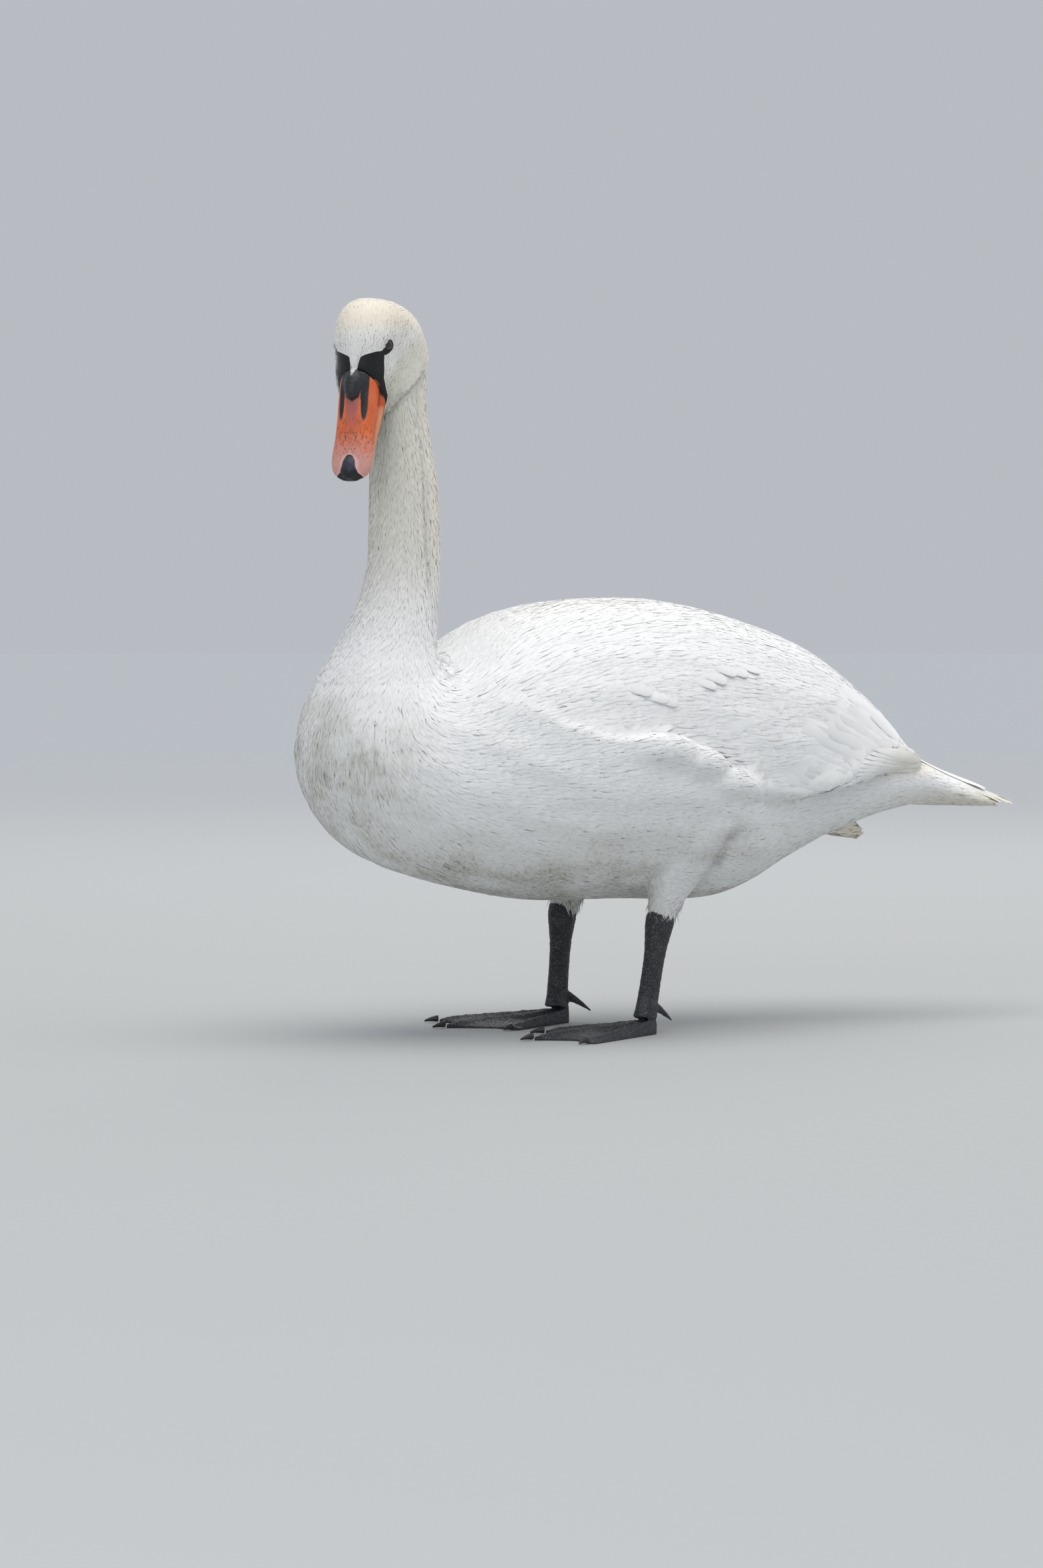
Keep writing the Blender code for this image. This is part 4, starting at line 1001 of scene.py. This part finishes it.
# legs: scaly skin over shank, webbed foot and hind toe; claws apart
legs = {"voxel": 0.0013, "scaleSize": 0.0034, "scaleOut": 0.00045}
legLook, tree, shader = makeLook("legScales")
place = addNode(tree, "TexCoord").outputs["Object"]
scales = {"Vector": place, "Scale": 330.0}
cells = addNode(tree, "TexVoronoi", scales, feature="DISTANCE_TO_EDGE").outputs["Distance"]
tint = addNode(tree, "TexVoronoi", scales).outputs["Color"]
tint = addNode(tree, "RGBToBW", {0: tint}).outputs[0]
colour = blend(tree, tint, (0.020, 0.022, 0.027), (0.055, 0.058, 0.066))
colour = blend(tree, rise(tree, cells, 0.10, 0.0), colour, (0.012, 0.012, 0.014))
dust = times(tree, rise(tree, noiseSocket(tree, 60), 0.52, 0.70), 0.4)
colour = blend(tree, dust, colour, (0.10, 0.105, 0.115))
painted(tree, shader, colour, 0.50, (rise(tree, cells, 0.0, 0.14), 0.7, 0.0008))
clawLook, tree, shader = makeLook("clawHorn")
colour = blend(tree, noiseSocket(tree, 500, (1, 0.3, 1)), (0.008, 0.008, 0.009), (0.035, 0.033, 0.030))
painted(tree, shader, colour, 0.32, (noiseSocket(tree, 700, (1, 0.2, 1)), 0.3, 0.0005))
for sideName in ("left", "right"):
    nodes = ("shank_" + sideName, "foot_" + sideName, "hallux_" + sideName)
    leg = remeshed(nodes, "leg_" + sideName, 0.0004, legs["voxel"], 4)
    cells = bpy.data.textures.new("scaleCells_" + sideName, "VORONOI")
    cells.noise_scale = legs["scaleSize"]
    cells.distance_metric = "DISTANCE"
    applyModifier(leg, "SUBSURF", levels=1, render_levels=1)
    applyModifier(leg, "DISPLACE", texture=cells, texture_coords="LOCAL", strength=-legs["scaleOut"],
                  mid_level=0.3)
    points = meshArrays(leg.data)[0]
    points[:, 2] = np.maximum(points[:, 2], 0.0)
    setPoints(leg.data, points)
    leg.data.materials.append(legLook)
    clawNodes = [f"claw_{toe}_{sideName}" for toe in ("inner", "middle", "outer")]
    claws = joined([solidCopy(node, 0.0003) for node in clawNodes], "claws_" + sideName)
    applyModifier(claws, "SUBSURF", levels=2, render_levels=2)
    claws.data.materials.append(clawLook)
    for piece, stood, slotName in ((leg, nodes, "leg_skin"), (claws, clawNodes, "black_horn")):
        only(piece)
        bpy.ops.object.shade_smooth()
        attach(piece, "root")
        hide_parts(*stood)
print("legs ready")

# an unwrap of a light copy of the skin, on which every tuft's root has its place
unwrap = skin.copy()
unwrap.data = skin.data.copy()
bpy.context.scene.collection.objects.link(unwrap)
setPoints(unwrap.data, outerPoints)
applyModifier(unwrap, "DECIMATE", ratio=0.06)
only(unwrap)
bpy.ops.object.mode_set(mode="EDIT")
bpy.ops.mesh.select_all(action="SELECT")
bpy.ops.mesh.quads_convert_to_tris()
bpy.ops.uv.smart_project(angle_limit=math.radians(66), island_margin=0.004)
bpy.ops.object.mode_set(mode="OBJECT")
unwrapPoints = meshArrays(unwrap.data)[0]
unwrapCorners = np.zeros(len(unwrap.data.loops), np.int32)
unwrap.data.loops.foreach_get("vertex_index", unwrapCorners)
unwrapCorners = unwrapCorners.reshape(-1, 3)
unwrapPlaces = np.zeros(len(unwrap.data.loops) * 2)
unwrap.data.uv_layers.active.data.foreach_get("uv", unwrapPlaces)
unwrapPlaces = unwrapPlaces.reshape(-1, 3, 2)
unwrapTree = surfaceTree(unwrap.data, unwrapPoints)
bpy.data.objects.remove(unwrap)
print("unwrapped", len(unwrapCorners))


def unwrapPlace(roots):
    faces, hits = [], []
    for root in roots:
        hit = unwrapTree.find_nearest(Vector(root))
        faces.append(hit[2])
        hits.append(hit[0])
    corners = unwrapPoints[unwrapCorners[faces]]
    e1, e2, q = corners[:, 1] - corners[:, 0], corners[:, 2] - corners[:, 0], np.array(hits) - corners[:, 0]
    a, b, c = (e1 * e1).sum(1), (e1 * e2).sum(1), (e2 * e2).sum(1)
    d, e = (q * e1).sum(1), (q * e2).sum(1)
    base = np.maximum(a * c - b * b, 1e-18)
    v, w = (c * d - b * e) / base, (a * e - b * d) / base
    shares = np.stack([1 - v - w, v, w], axis=1)
    return (unwrapPlaces[faces] * shares[..., None]).sum(1)


outerFaces = np.zeros(len(skin.data.polygons) * 3, np.int32)
skin.data.polygons.foreach_get("vertices", outerFaces)
outerFaces = outerFaces.reshape(-1, 3)
faceCorners = outerPoints[outerFaces]
faceAreas = np.cross(faceCorners[:, 1] - faceCorners[:, 0], faceCorners[:, 2] - faceCorners[:, 0])
faceAreas = np.linalg.norm(faceAreas, axis=1) / 2


def scatter(mask, spacing):
    # roots spread evenly over the faces where the mask holds: one to each small cube
    chosen = np.nonzero(mask[outerFaces].any(axis=1))[0]
    weights = faceAreas[chosen]
    count = int(weights.sum() / spacing ** 2 * 5) + 10
    picked = rng.choice(chosen, count, p=weights / weights.sum())
    a, b = rng.random(count), rng.random(count)
    flip = a + b > 1
    a[flip], b[flip] = 1 - a[flip], 1 - b[flip]
    c = faceCorners[picked]
    roots = c[:, 0] + (c[:, 1] - c[:, 0]) * a[:, None] + (c[:, 2] - c[:, 0]) * b[:, None]
    cells = np.floor(roots / (spacing * 0.95)).astype(np.int64)
    keys = cells[:, 0] * 73856093 ^ cells[:, 1] * 19349663 ^ cells[:, 2] * 83492791
    first = np.unique(keys, return_index=True)[1]
    return roots[np.sort(first)]


# patch of the unwrap under a feather, feathers tested at a time, how far a facet may turn from its normals
coat = {"patch": 0.003, "batch": 4000, "leastAgreement": 0.25}


def meshFromArrays(name, points, triangles, places, tones, hollows, normals):
    # normals belong to the triangles' corners, so that the undersides have their own
    mesh = bpy.data.meshes.new(name)
    mesh.vertices.add(len(points))
    mesh.vertices.foreach_set("co", points.astype(np.float32).ravel())
    mesh.loops.add(len(triangles) * 3)
    mesh.loops.foreach_set("vertex_index", triangles.astype(np.int32).ravel())
    mesh.polygons.add(len(triangles))
    mesh.polygons.foreach_set("loop_start", np.arange(0, len(triangles) * 3, 3, dtype=np.int32))
    mesh.update(calc_edges=True)
    unwrapped = places[triangles.ravel()].astype(np.float32)
    mesh.uv_layers.new(name="OFBake").data.foreach_set("uv", unwrapped.ravel())
    # the hollow attribute carries painted shade for tufts lying in hollows
    setPointValues(mesh, tone=tones, hollow=hollows)
    mesh.shade_smooth()
    mesh.normals_split_custom_set(normals.reshape(-1, 3))
    mesh.materials.append(vaneLook)
    piece = bpy.data.objects.new(name, mesh)
    bpy.context.scene.collection.objects.link(piece)
    return piece


def unit(vectors):
    return vectors / np.maximum(np.linalg.norm(vectors, axis=-1, keepdims=True), 1e-9)


crossSections = {
    # across, height over the middle plane in thicknesses, lean of the normal, 1 on the underside
    "tuft": ((-1, 0.0, -0.18, 0), (0, 1.0, 0.0, 0), (1, 0.0, 0.18, 0)),
    "vane": ((-1, 0.0, -0.14, 0), (0, 1.0, 0.0, 0), (1, 0.0, 0.14, 0), (0, -0.7, 0.0, 1)),
    "quill": ((-1, 0.5, -0.40, 0), (-0.7, 1.0, -0.10, 0), (0.1, 0.7, 0.08, 0), (1, -1.0, 0.10, 0),
              (0.1, -0.6, 0.0, 1)),
}


def lay(name, roots, kind="tuft", length=0.012, width=0.002, rings=(0, 0.35, 0.7, 1.0), shares=(0, 1, 0.8, 0),
        thick=0.00014, sink=0.0015, lift=0.0, lower=0.0, spread=6.0, tilt=1.0, follow=0.55, aims=None,
        slotName="white_plumage", wander=0.00006, bend=0.6, free=1.1, vary=0.12, mirrored=False):
    # feathers that follow the plumage's surface from sunken roots to free tips; rings are shares of the
    # length, shares the widths there; the depths are below the outside, and both ends close to a point;
    # a feather that a crease would twist by more than bend allows is left out, none where bend is below 0
    count = len(roots)
    length = np.broadcast_to(length, count) * rng.uniform(1 - vary, 1 + vary, count)
    width = np.broadcast_to(width, count) * rng.uniform(1 - vary, 1 + vary, count)
    lower = np.broadcast_to(lower, count)
    section = np.array(crossSections[kind])
    if mirrored:
        section = section[::-1] * (-1, 1, -1, 1)
    wide = kind != "tuft"
    angle = np.radians(rng.normal(0, spread, count))
    tilts = np.radians(rng.normal(0, tilt, (2, count)))
    jitter = rng.normal(0, wander, count)
    keep = np.ones(count, bool)

    def turned(direction, normal):
        return direction * np.cos(angle)[:, None] + np.cross(normal, direction) * np.sin(angle)[:, None]

    at = roots.copy()
    index = nearest(outerTree, at)
    normal = before = outerNormals[index]
    heading = tangent(turned(outerLie[index] if aims is None else aims, normal), normal)
    rootPlace = unwrapPlace(roots)
    vertices, places, vertexNormals, sizes, shades = [], [], [], [], []
    last = 0.0
    for v, share in zip(rings, shares):
        if v > last:
            at = at + heading * (length * (v - last))[:, None]
            if v < free:
                index = nearest(outerTree, at)
                normal = outerNormals[index]
                keep &= (normal * before).sum(1) > bend
                before = normal
                at = at - normal * ((at - outerPoints[index]) * normal).sum(1, keepdims=True)
                aimed = tangent(turned(outerLie[index] if aims is None else aims, normal), normal)
                heading = tangent(heading * (1 - follow) + aimed * follow, normal)
            last = v
        deep = np.minimum(sink, outerDepth[index] * 0.8)
        height = -deep * (1 - v) ** 1.3 - lower + lift * v ** 2 + jitter * v
        across = np.cross(normal, heading)
        half = width * share / 2
        lean = unit(normal + across * np.tan(tilts[0])[:, None] + heading * np.tan(tilts[1])[:, None])
        along = (v - 0.5) * coat["patch"]
        # each ring takes the painted shade of the hollow under it
        shades += [paintedCreaseShade[index]] * (1 if share == 0 else len(section))
        if share == 0:
            vertices.append((at + normal * height[:, None])[:, None])
            places.append((rootPlace + np.array((0, along)))[:, None])
            vertexNormals.append(lean[:, None])
            sizes.append(1)
            continue
        ring, ringNormals, ringPlaces = [], [], []
        fade = min(1.0, share * 1.5)
        for side, rise_, turn, under in section:
            place = at + across * (half * side)[:, None]
            top = normal
            if wide and v < free:
                near = nearest(outerTree, place)
                top = outerNormals[near]
                keep &= (top * normal).sum(1) > bend
                place = place - top * ((place - outerPoints[near]) * top).sum(1, keepdims=True)
            ring.append(place + top * (height + thick * rise_ * fade)[:, None])
            ringNormals.append(-top if under else unit(lean + (top - normal) + across * turn))
            ringPlaces.append(rootPlace + np.array((side * 0.45 * share * coat["patch"], along)))
        vertices.append(np.stack(ring, axis=1))
        vertexNormals.append(np.stack(ringNormals, axis=1))
        places.append(np.stack(ringPlaces, axis=1))
        sizes.append(len(section))
    starts = np.concatenate([[0], np.cumsum(sizes)])
    triangles, below = [], []
    turns = len(section)
    isUnder = section[:, 3] > 0
    for k in range(len(sizes) - 1):
        a, b = starts[k], starts[k + 1]
        for i in range(turns):
            j = (i + 1) % turns
            if sizes[k] == 1:
                triangles.append((a, b + i, b + j))
            elif sizes[k + 1] == 1:
                triangles.append((a + i, b, a + j))
            else:
                triangles += [(a + i, b + j, a + j), (a + i, b + i, b + j)]
            shaded = isUnder[i] or isUnder[j] or (abs(section[i, 0]) == 1 and abs(section[j, 0]) == 1)
            below += [shaded] * (len(triangles) - len(below))
    triangles, below = np.array(triangles), np.array(below)
    pointUnder = np.concatenate([[False] if size == 1 else isUnder for size in sizes])
    turnOver = below[:, None] & ~pointUnder[triangles]
    vertices, places, vertexNormals = (np.concatenate(rows, axis=1)
                                       for rows in (vertices, places, vertexNormals))
    if bend >= 0:
        # feathers that lie folded or overturned are left out
        upper = triangles[~below]
        for start in range(0, len(vertices), coat["batch"]):
            own = slice(start, start + coat["batch"])
            corners = vertices[own][:, upper]
            facing = np.cross(corners[:, :, 1] - corners[:, :, 0], corners[:, :, 2] - corners[:, :, 0])
            agree = (unit(facing) * unit(vertexNormals[own][:, upper].sum(axis=2))).sum(axis=2)
            keep[own] &= (agree > coat["leastAgreement"]).all(axis=1)
    vertices, places, vertexNormals = vertices[keep], places[keep], vertexNormals[keep]
    count, perTuft = vertices.shape[:2]
    cornerNormals = vertexNormals[:, triangles] * np.where(turnOver, -1, 1)[None, ..., None]
    triangles = (triangles[None] + (np.arange(count) * perTuft)[:, None, None]).reshape(-1, 3)
    tones = np.repeat(rng.random(count), perTuft)
    piece = meshFromArrays(name, vertices.reshape(-1, 3), triangles, places.reshape(-1, 2), tones,
                           np.stack(shades, axis=1)[keep].ravel(), cornerNormals)
    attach(piece, "root")
    print(name, count, "tufts", len(triangles), "triangles")


def halves(name, roots, **settings):
    # the same coat as a left and a right piece, with lengths and widths worked out by place
    for sideName, way in (("left", 1), ("right", -1)):
        own = roots[roots[:, 0] * way >= 0]
        worked = {key: value(own) if callable(value) else value for key, value in settings.items()}
        lay(f"{name}_{sideName}", own, mirrored=way < 0, **worked)


def sidePoint(y, z, way):
    hit = outerShell.ray_cast(Vector((0.3 * way, y, z)), Vector((-way, 0, 0)))
    if hit[0] is None:
        hit = outerShell.find_nearest(Vector((0.05 * way, y, z)))
    return np.array(hit[0])


def between(first, last, count):
    return [tuple(a + (b - a) * i / (count - 1) for a, b in zip(first, last)) for i in range(count)]


def featherRow(count, width, roots, tips):
    # feathers from a first to a last one: y and z of the root and of the tip, width
    return [a + b + (width,) for a, b in zip(between(*roots, count), between(*tips, count))]


def longFeathers(name, rows, sides=(("left", 1), ("right", -1)), **settings):
    # feathers set one by one on the sides, each from its root's to its tip's y and z
    for sideName, way in sides:
        roots = np.array([sidePoint(row[0], row[1], way) for row in rows])
        tips = np.array([sidePoint(row[2], row[3], way) for row in rows])
        reach = np.linalg.norm(tips - roots, axis=1)
        lay(f"{name}_{sideName}", roots, kind="quill", length=reach, width=np.array([row[4] for row in rows]),
            rings=quillRings, shares=quillShares, aims=unit(tips - roots), spread=1.0, tilt=0.3, follow=0.9,
            vary=0.02, mirrored=way < 0, **settings)


vaneLook = plumageLook("plumageVanes")
skin.data.materials.clear()
skin.data.materials.append(skinLook)
bare = bareFace(outerPoints)
gape = headPlace[:, 0] - np.interp(headPlace[:, 1], *np.array(face["orangeEdge"]).T)
setPointValues(skin.data, bare=bare, gape=gape)
# where each coat grows
zones = {"headReach": 0.085, "headZ": 0.55, "neckY": -0.20, "thighZ": 0.19, "tailTipY": 0.318, "tipSide": 0.045,
         "nearTipY": 0.232, "nearTipZ": 0.200, "farTipY": 0.222, "farTipZ": 0.1965}
side, y, z = outerPoints.T
onHead = (fromHead < zones["headReach"]) & (foldHeight(outerPoints) > -0.001) & (z > zones["headZ"])
neckZone = ~onHead & ~outerWing & (y < zones["neckY"])
onThigh = (nearThigh < nearTrunk) & (z < zones["thighZ"])
# long feathers alone form the ends of the tail and of both wings
onTailTip = y > zones["tailTipY"]
onNearTip = (side > zones["tipSide"]) & (z > zones["nearTipZ"]) & (y > zones["nearTipY"])
onFarTip = (side < -zones["tipSide"]) & (z < zones["farTipZ"]) & (y > zones["farTipY"])
atFoot = creaseDistance(outerPoints, -0.247, 0.346) < 0.014

vaneRings, vaneShares = (0, 0.25, 0.62, 0.90, 1.0), (0, 0.8, 1.0, 0.72, 0)
quillRings = (0, 0.1, 0.3, 0.5, 0.7, 0.85, 0.95, 0.985, 1.0)
quillShares = (0, 0.55, 0.9, 1.0, 1.0, 0.96, 0.72, 0.42, 0)


def byHeight(low, high):
    # a size that changes from the body to the neck
    return lambda places: low + (high - low) * smoothStep(0.33, 0.44, places[:, 2])


def headLength(places):
    return np.interp(bareFace(places), (-0.030, -0.004, 0.0), (0.0085, 0.0048, 0.0030))


roots = scatter(onHead & (bare < -0.0002), 0.00136)
roots = roots[bareFace(roots) < -0.0004]
lay("coatHead", roots, length=headLength(roots), width=headLength(roots) * 0.18, sink=0.0008, spread=11,
    lift=0.0004, wander=0.00014, slotName="cream_plumage")
roots = scatter(neckZone & (outerPoints[:, 2] > 0.33) & ~atFoot, 0.0056)
lay("neckVanes", roots, kind="vane", length=0.018, width=0.0090, rings=vaneRings, shares=vaneShares,
    thick=0.0003, sink=0.0022, lower=0.0004, spread=6)
roots = scatter(neckZone & (outerPoints[:, 2] > 0.335), 0.0025)
lay("neckTufts", roots, length=0.015, width=0.0020, sink=0.0007, spread=7, lift=0.0003, wander=0.00010)
bodyZone = ~onHead & ~outerWing & ((outerPoints[:, 2] < 0.365) | (outerPoints[:, 1] > -0.21)) & ~onTailTip
roots = scatter(bodyZone & ~atFoot, 0.0082)
halves("bodyVanes", roots, kind="vane", length=byHeight(0.031, 0.018), width=byHeight(0.0145, 0.0090),
       rings=vaneRings, shares=vaneShares, thick=0.0003, sink=0.0026, lower=0.0003, spread=5)
roots = scatter(bodyZone, 0.0037)
halves("bodyTufts", roots, length=byHeight(0.018, 0.0135), width=byHeight(0.0026, 0.0020), thick=0.0001,
       sink=0.0006, spread=5)
wingZone = outerWing & ~onFarTip & ~onNearTip
roots = scatter(wingZone, 0.0080)
halves("wingVanes", roots, kind="vane", length=0.040, width=0.021, rings=vaneRings, shares=vaneShares,
       thick=0.0003, sink=0.0024, lower=0.0003, spread=3)
roots = scatter(wingZone, 0.0062)
halves("wingTufts", roots, length=0.024, width=0.0030, thick=0.0001, sink=0.0005, spread=4, wander=0.00003)
roots = scatter(onThigh, 0.0024)
halves("thighTufts", roots, length=0.020, width=0.0015, sink=0.0010, spread=7, lift=0.0006, bend=0.3)
# the thighs' lowest feathers hang past the ankles
low = np.interp(outerPoints[:, 2], (0.112, 0.120, 0.132), (0, 1, 0)) > 0.05
roots = scatter(onThigh & low, 0.0017)
for sideName, way in (("left", 1), ("right", -1)):
    own = roots[roots[:, 0] * way > 0]
    shank = np.array(boxMiddle("shank_" + sideName))
    inward = (shank - own) * (0.55, 0.55, 0)
    inward[:, 2] = -0.030
    lay("thighFringe_" + sideName, own, length=0.020, width=0.0013, aims=unit(inward), spread=13, sink=0.0006,
        lift=0.0006, free=0.3, bend=-1, mirrored=way < 0)

# short tufts in the crease behind the neck's foot
roots = scatter(creaseDistance(outerPoints, -0.239, 0.350) < 0.022, 0.0022)
lay("footTufts", roots, length=0.0085, width=0.0020, sink=0.0006, spread=6, bend=-1)

# long feathers of the folded wings, the lowest first
nearBundle = featherRow(7, 0.0095, ((0.128, 0.2345), (0.172, 0.2550)), ((0.2530, 0.2358), (0.2420, 0.2440)))
longFeathers("primaryBundle", nearBundle, sides=(("left", 1),), thick=0.0007, sink=0.0010, lift=0.0002,
             lower=-np.linspace(0.0006, 0.0034, 7), free=0.88, bend=-1, slotName="flight_feathers")
farBundle = featherRow(6, 0.018, ((0.080, 0.2040), (0.100, 0.2160)), ((0.2530, 0.1680), (0.2430, 0.1860)))
longFeathers("primaryBundle", farBundle, sides=(("right", -1),), thick=0.0005, sink=0.0010, lift=0.0002,
             free=0.82, bend=0.2, slotName="flight_feathers")
secondaries = featherRow(14, 0.024, ((-0.012, 0.2250), (0.056, 0.2960)), ((0.092, 0.2190), (0.172, 0.2450)))
longFeathers("secondaries", secondaries, bend=0.4, thick=0.0004, sink=0.0018, lower=-0.0004, lift=0.0002,
             slotName="flight_feathers")
tertials = featherRow(6, 0.036, ((0.040, 0.300), (0.085, 0.350)), ((0.180, 0.2520), (0.225, 0.2640)))
longFeathers("tertials", tertials, bend=0.2, thick=0.0005, sink=0.0018, lower=-0.0006, lift=0.0002,
             slotName="flight_feathers")
coverts = featherRow(11, 0.028, ((-0.080, 0.305), (0.020, 0.340)), ((-0.005, 0.2780), (0.085, 0.3080)))
longFeathers("coverts", coverts, thick=0.0002, sink=0.0020, lower=0.0002)
ruffled = ((-0.125, 0.3220, -0.096, 0.3130, 0.011), (-0.112, 0.3150, -0.080, 0.3070, 0.010),
           (-0.098, 0.3110, -0.070, 0.3030, 0.009), (-0.040, 0.3330, -0.010, 0.3230, 0.011),
           (-0.028, 0.3400, 0.004, 0.3290, 0.010), (-0.012, 0.3370, 0.018, 0.3270, 0.010),
           (0.004, 0.3410, 0.033, 0.3290, 0.009), (-0.052, 0.3270, -0.024, 0.3170, 0.009))
longFeathers("ruffledFeathers", ruffled, bend=0.2, thick=0.0004, sink=0.0012, lift=0.0022)

# tail: a fan on top with stepped tips, short feathers below
# y of the roots, half width of the fan, y of the tips from the middle out, width, how far sunk
tailRows = {"top": (0.262, 0.036, (0.376, 0.374, 0.371, 0.366, 0.358, 0.348), 0.019, -0.0010),
            "cover": (0.250, 0.024, (0.350, 0.342, 0.332), 0.018, -0.0020),
            "under": (0.245, 0.030, (0.345, 0.338, 0.330), 0.018, 0.0005)}


def tailPoint(x, y, up):
    # on the tail's upper or lower side, or at its edge where it is narrower or shorter than that
    y = min(y, outerPoints[:, 1].max() - 0.003)
    for share in np.linspace(1, 0, 21):
        hit = outerShell.ray_cast(Vector((x * share, y, 0.5 if up > 0 else 0.0)), Vector((0, 0, -up)))
        if hit[0] is not None:
            return np.array(hit[0])


for rowName, (start, spreadX, ends, wide, lower) in tailRows.items():
    roots, tips = [], []
    up = 1 if rowName != "under" else -1
    for way in (1, -1):
        for k, end in enumerate(ends):
            share = k / (len(ends) - 1)
            roots.append(tailPoint((spreadX * 0.7 * share + 0.003) * way, start, up))
            tips.append(tailPoint((spreadX * 1.15 * share + 0.005) * way, end, up))
    roots, tips = np.array(roots), np.array(tips)
    for half, way in (("left", 1), ("right", -1)):
        own = roots[:, 0] * way > 0
        reach = tips[own] - roots[own]
        lay(f"tail_{rowName}_{half}", roots[own], kind="quill", length=np.linalg.norm(reach, axis=1),
            width=wide, rings=quillRings, shares=quillShares, aims=unit(reach), spread=0.5, tilt=0.3, follow=0.9,
            vary=0.02, thick=0.0006, sink=0.0010, lower=lower, free=0.72 if up > 0 else 0.9, bend=0.35,
            mirrored=(way > 0) == (up > 0), slotName="flight_feathers")

inner = outerPoints - outerNormals * outerDepth[:, None]
behind = inner[:, 1] - skinForm["tailEnd"]
inner[:, 1] = np.where(behind > 0, skinForm["tailEnd"] + behind * skinForm["tailShrink"], inner[:, 1])
for i in np.nonzero((inner[:, 1] > 0.30) & (inner[:, 2] < 0.30))[0]:
    x, y, z = inner[i]
    above = outerShell.ray_cast(Vector((x, y, 0.5)), Vector((0, 0, -1)))[0]
    under = outerShell.ray_cast(Vector((x, y, 0)), Vector((0, 0, 1)))[0]
    if above is not None and under is not None:
        room = skinForm["tailRoom"] * (above.z - under.z)
        inner[i, 2] = min(max(z, under.z + room), above.z - room)
setPoints(skin.data, inner)
# under the coat the skin's mesh is made coarser, the bare face keeps its own
only(skin)
covered = skin.vertex_groups.new(name="covered")
covered.add(np.nonzero(bare < -0.004)[0].tolist(), 1.0, "REPLACE")
thinner = skin.modifiers.new("thinner", "DECIMATE")
thinner.vertex_group = "covered"
thinner.ratio = skinForm["mostTriangles"] / sum(len(p.vertices) - 2 for p in skin.data.polygons)
bpy.ops.object.modifier_apply(modifier="thinner")
skin.vertex_groups.clear()
print("skin", len(skin.data.polygons), "faces")
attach(skin, "root")
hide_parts(*fleshNodes)
only(skin)
bpy.ops.object.shade_smooth()

size = {"cad": [list(cadBox[0]), list(cadBox[1])], "visual": [list(c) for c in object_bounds()]}
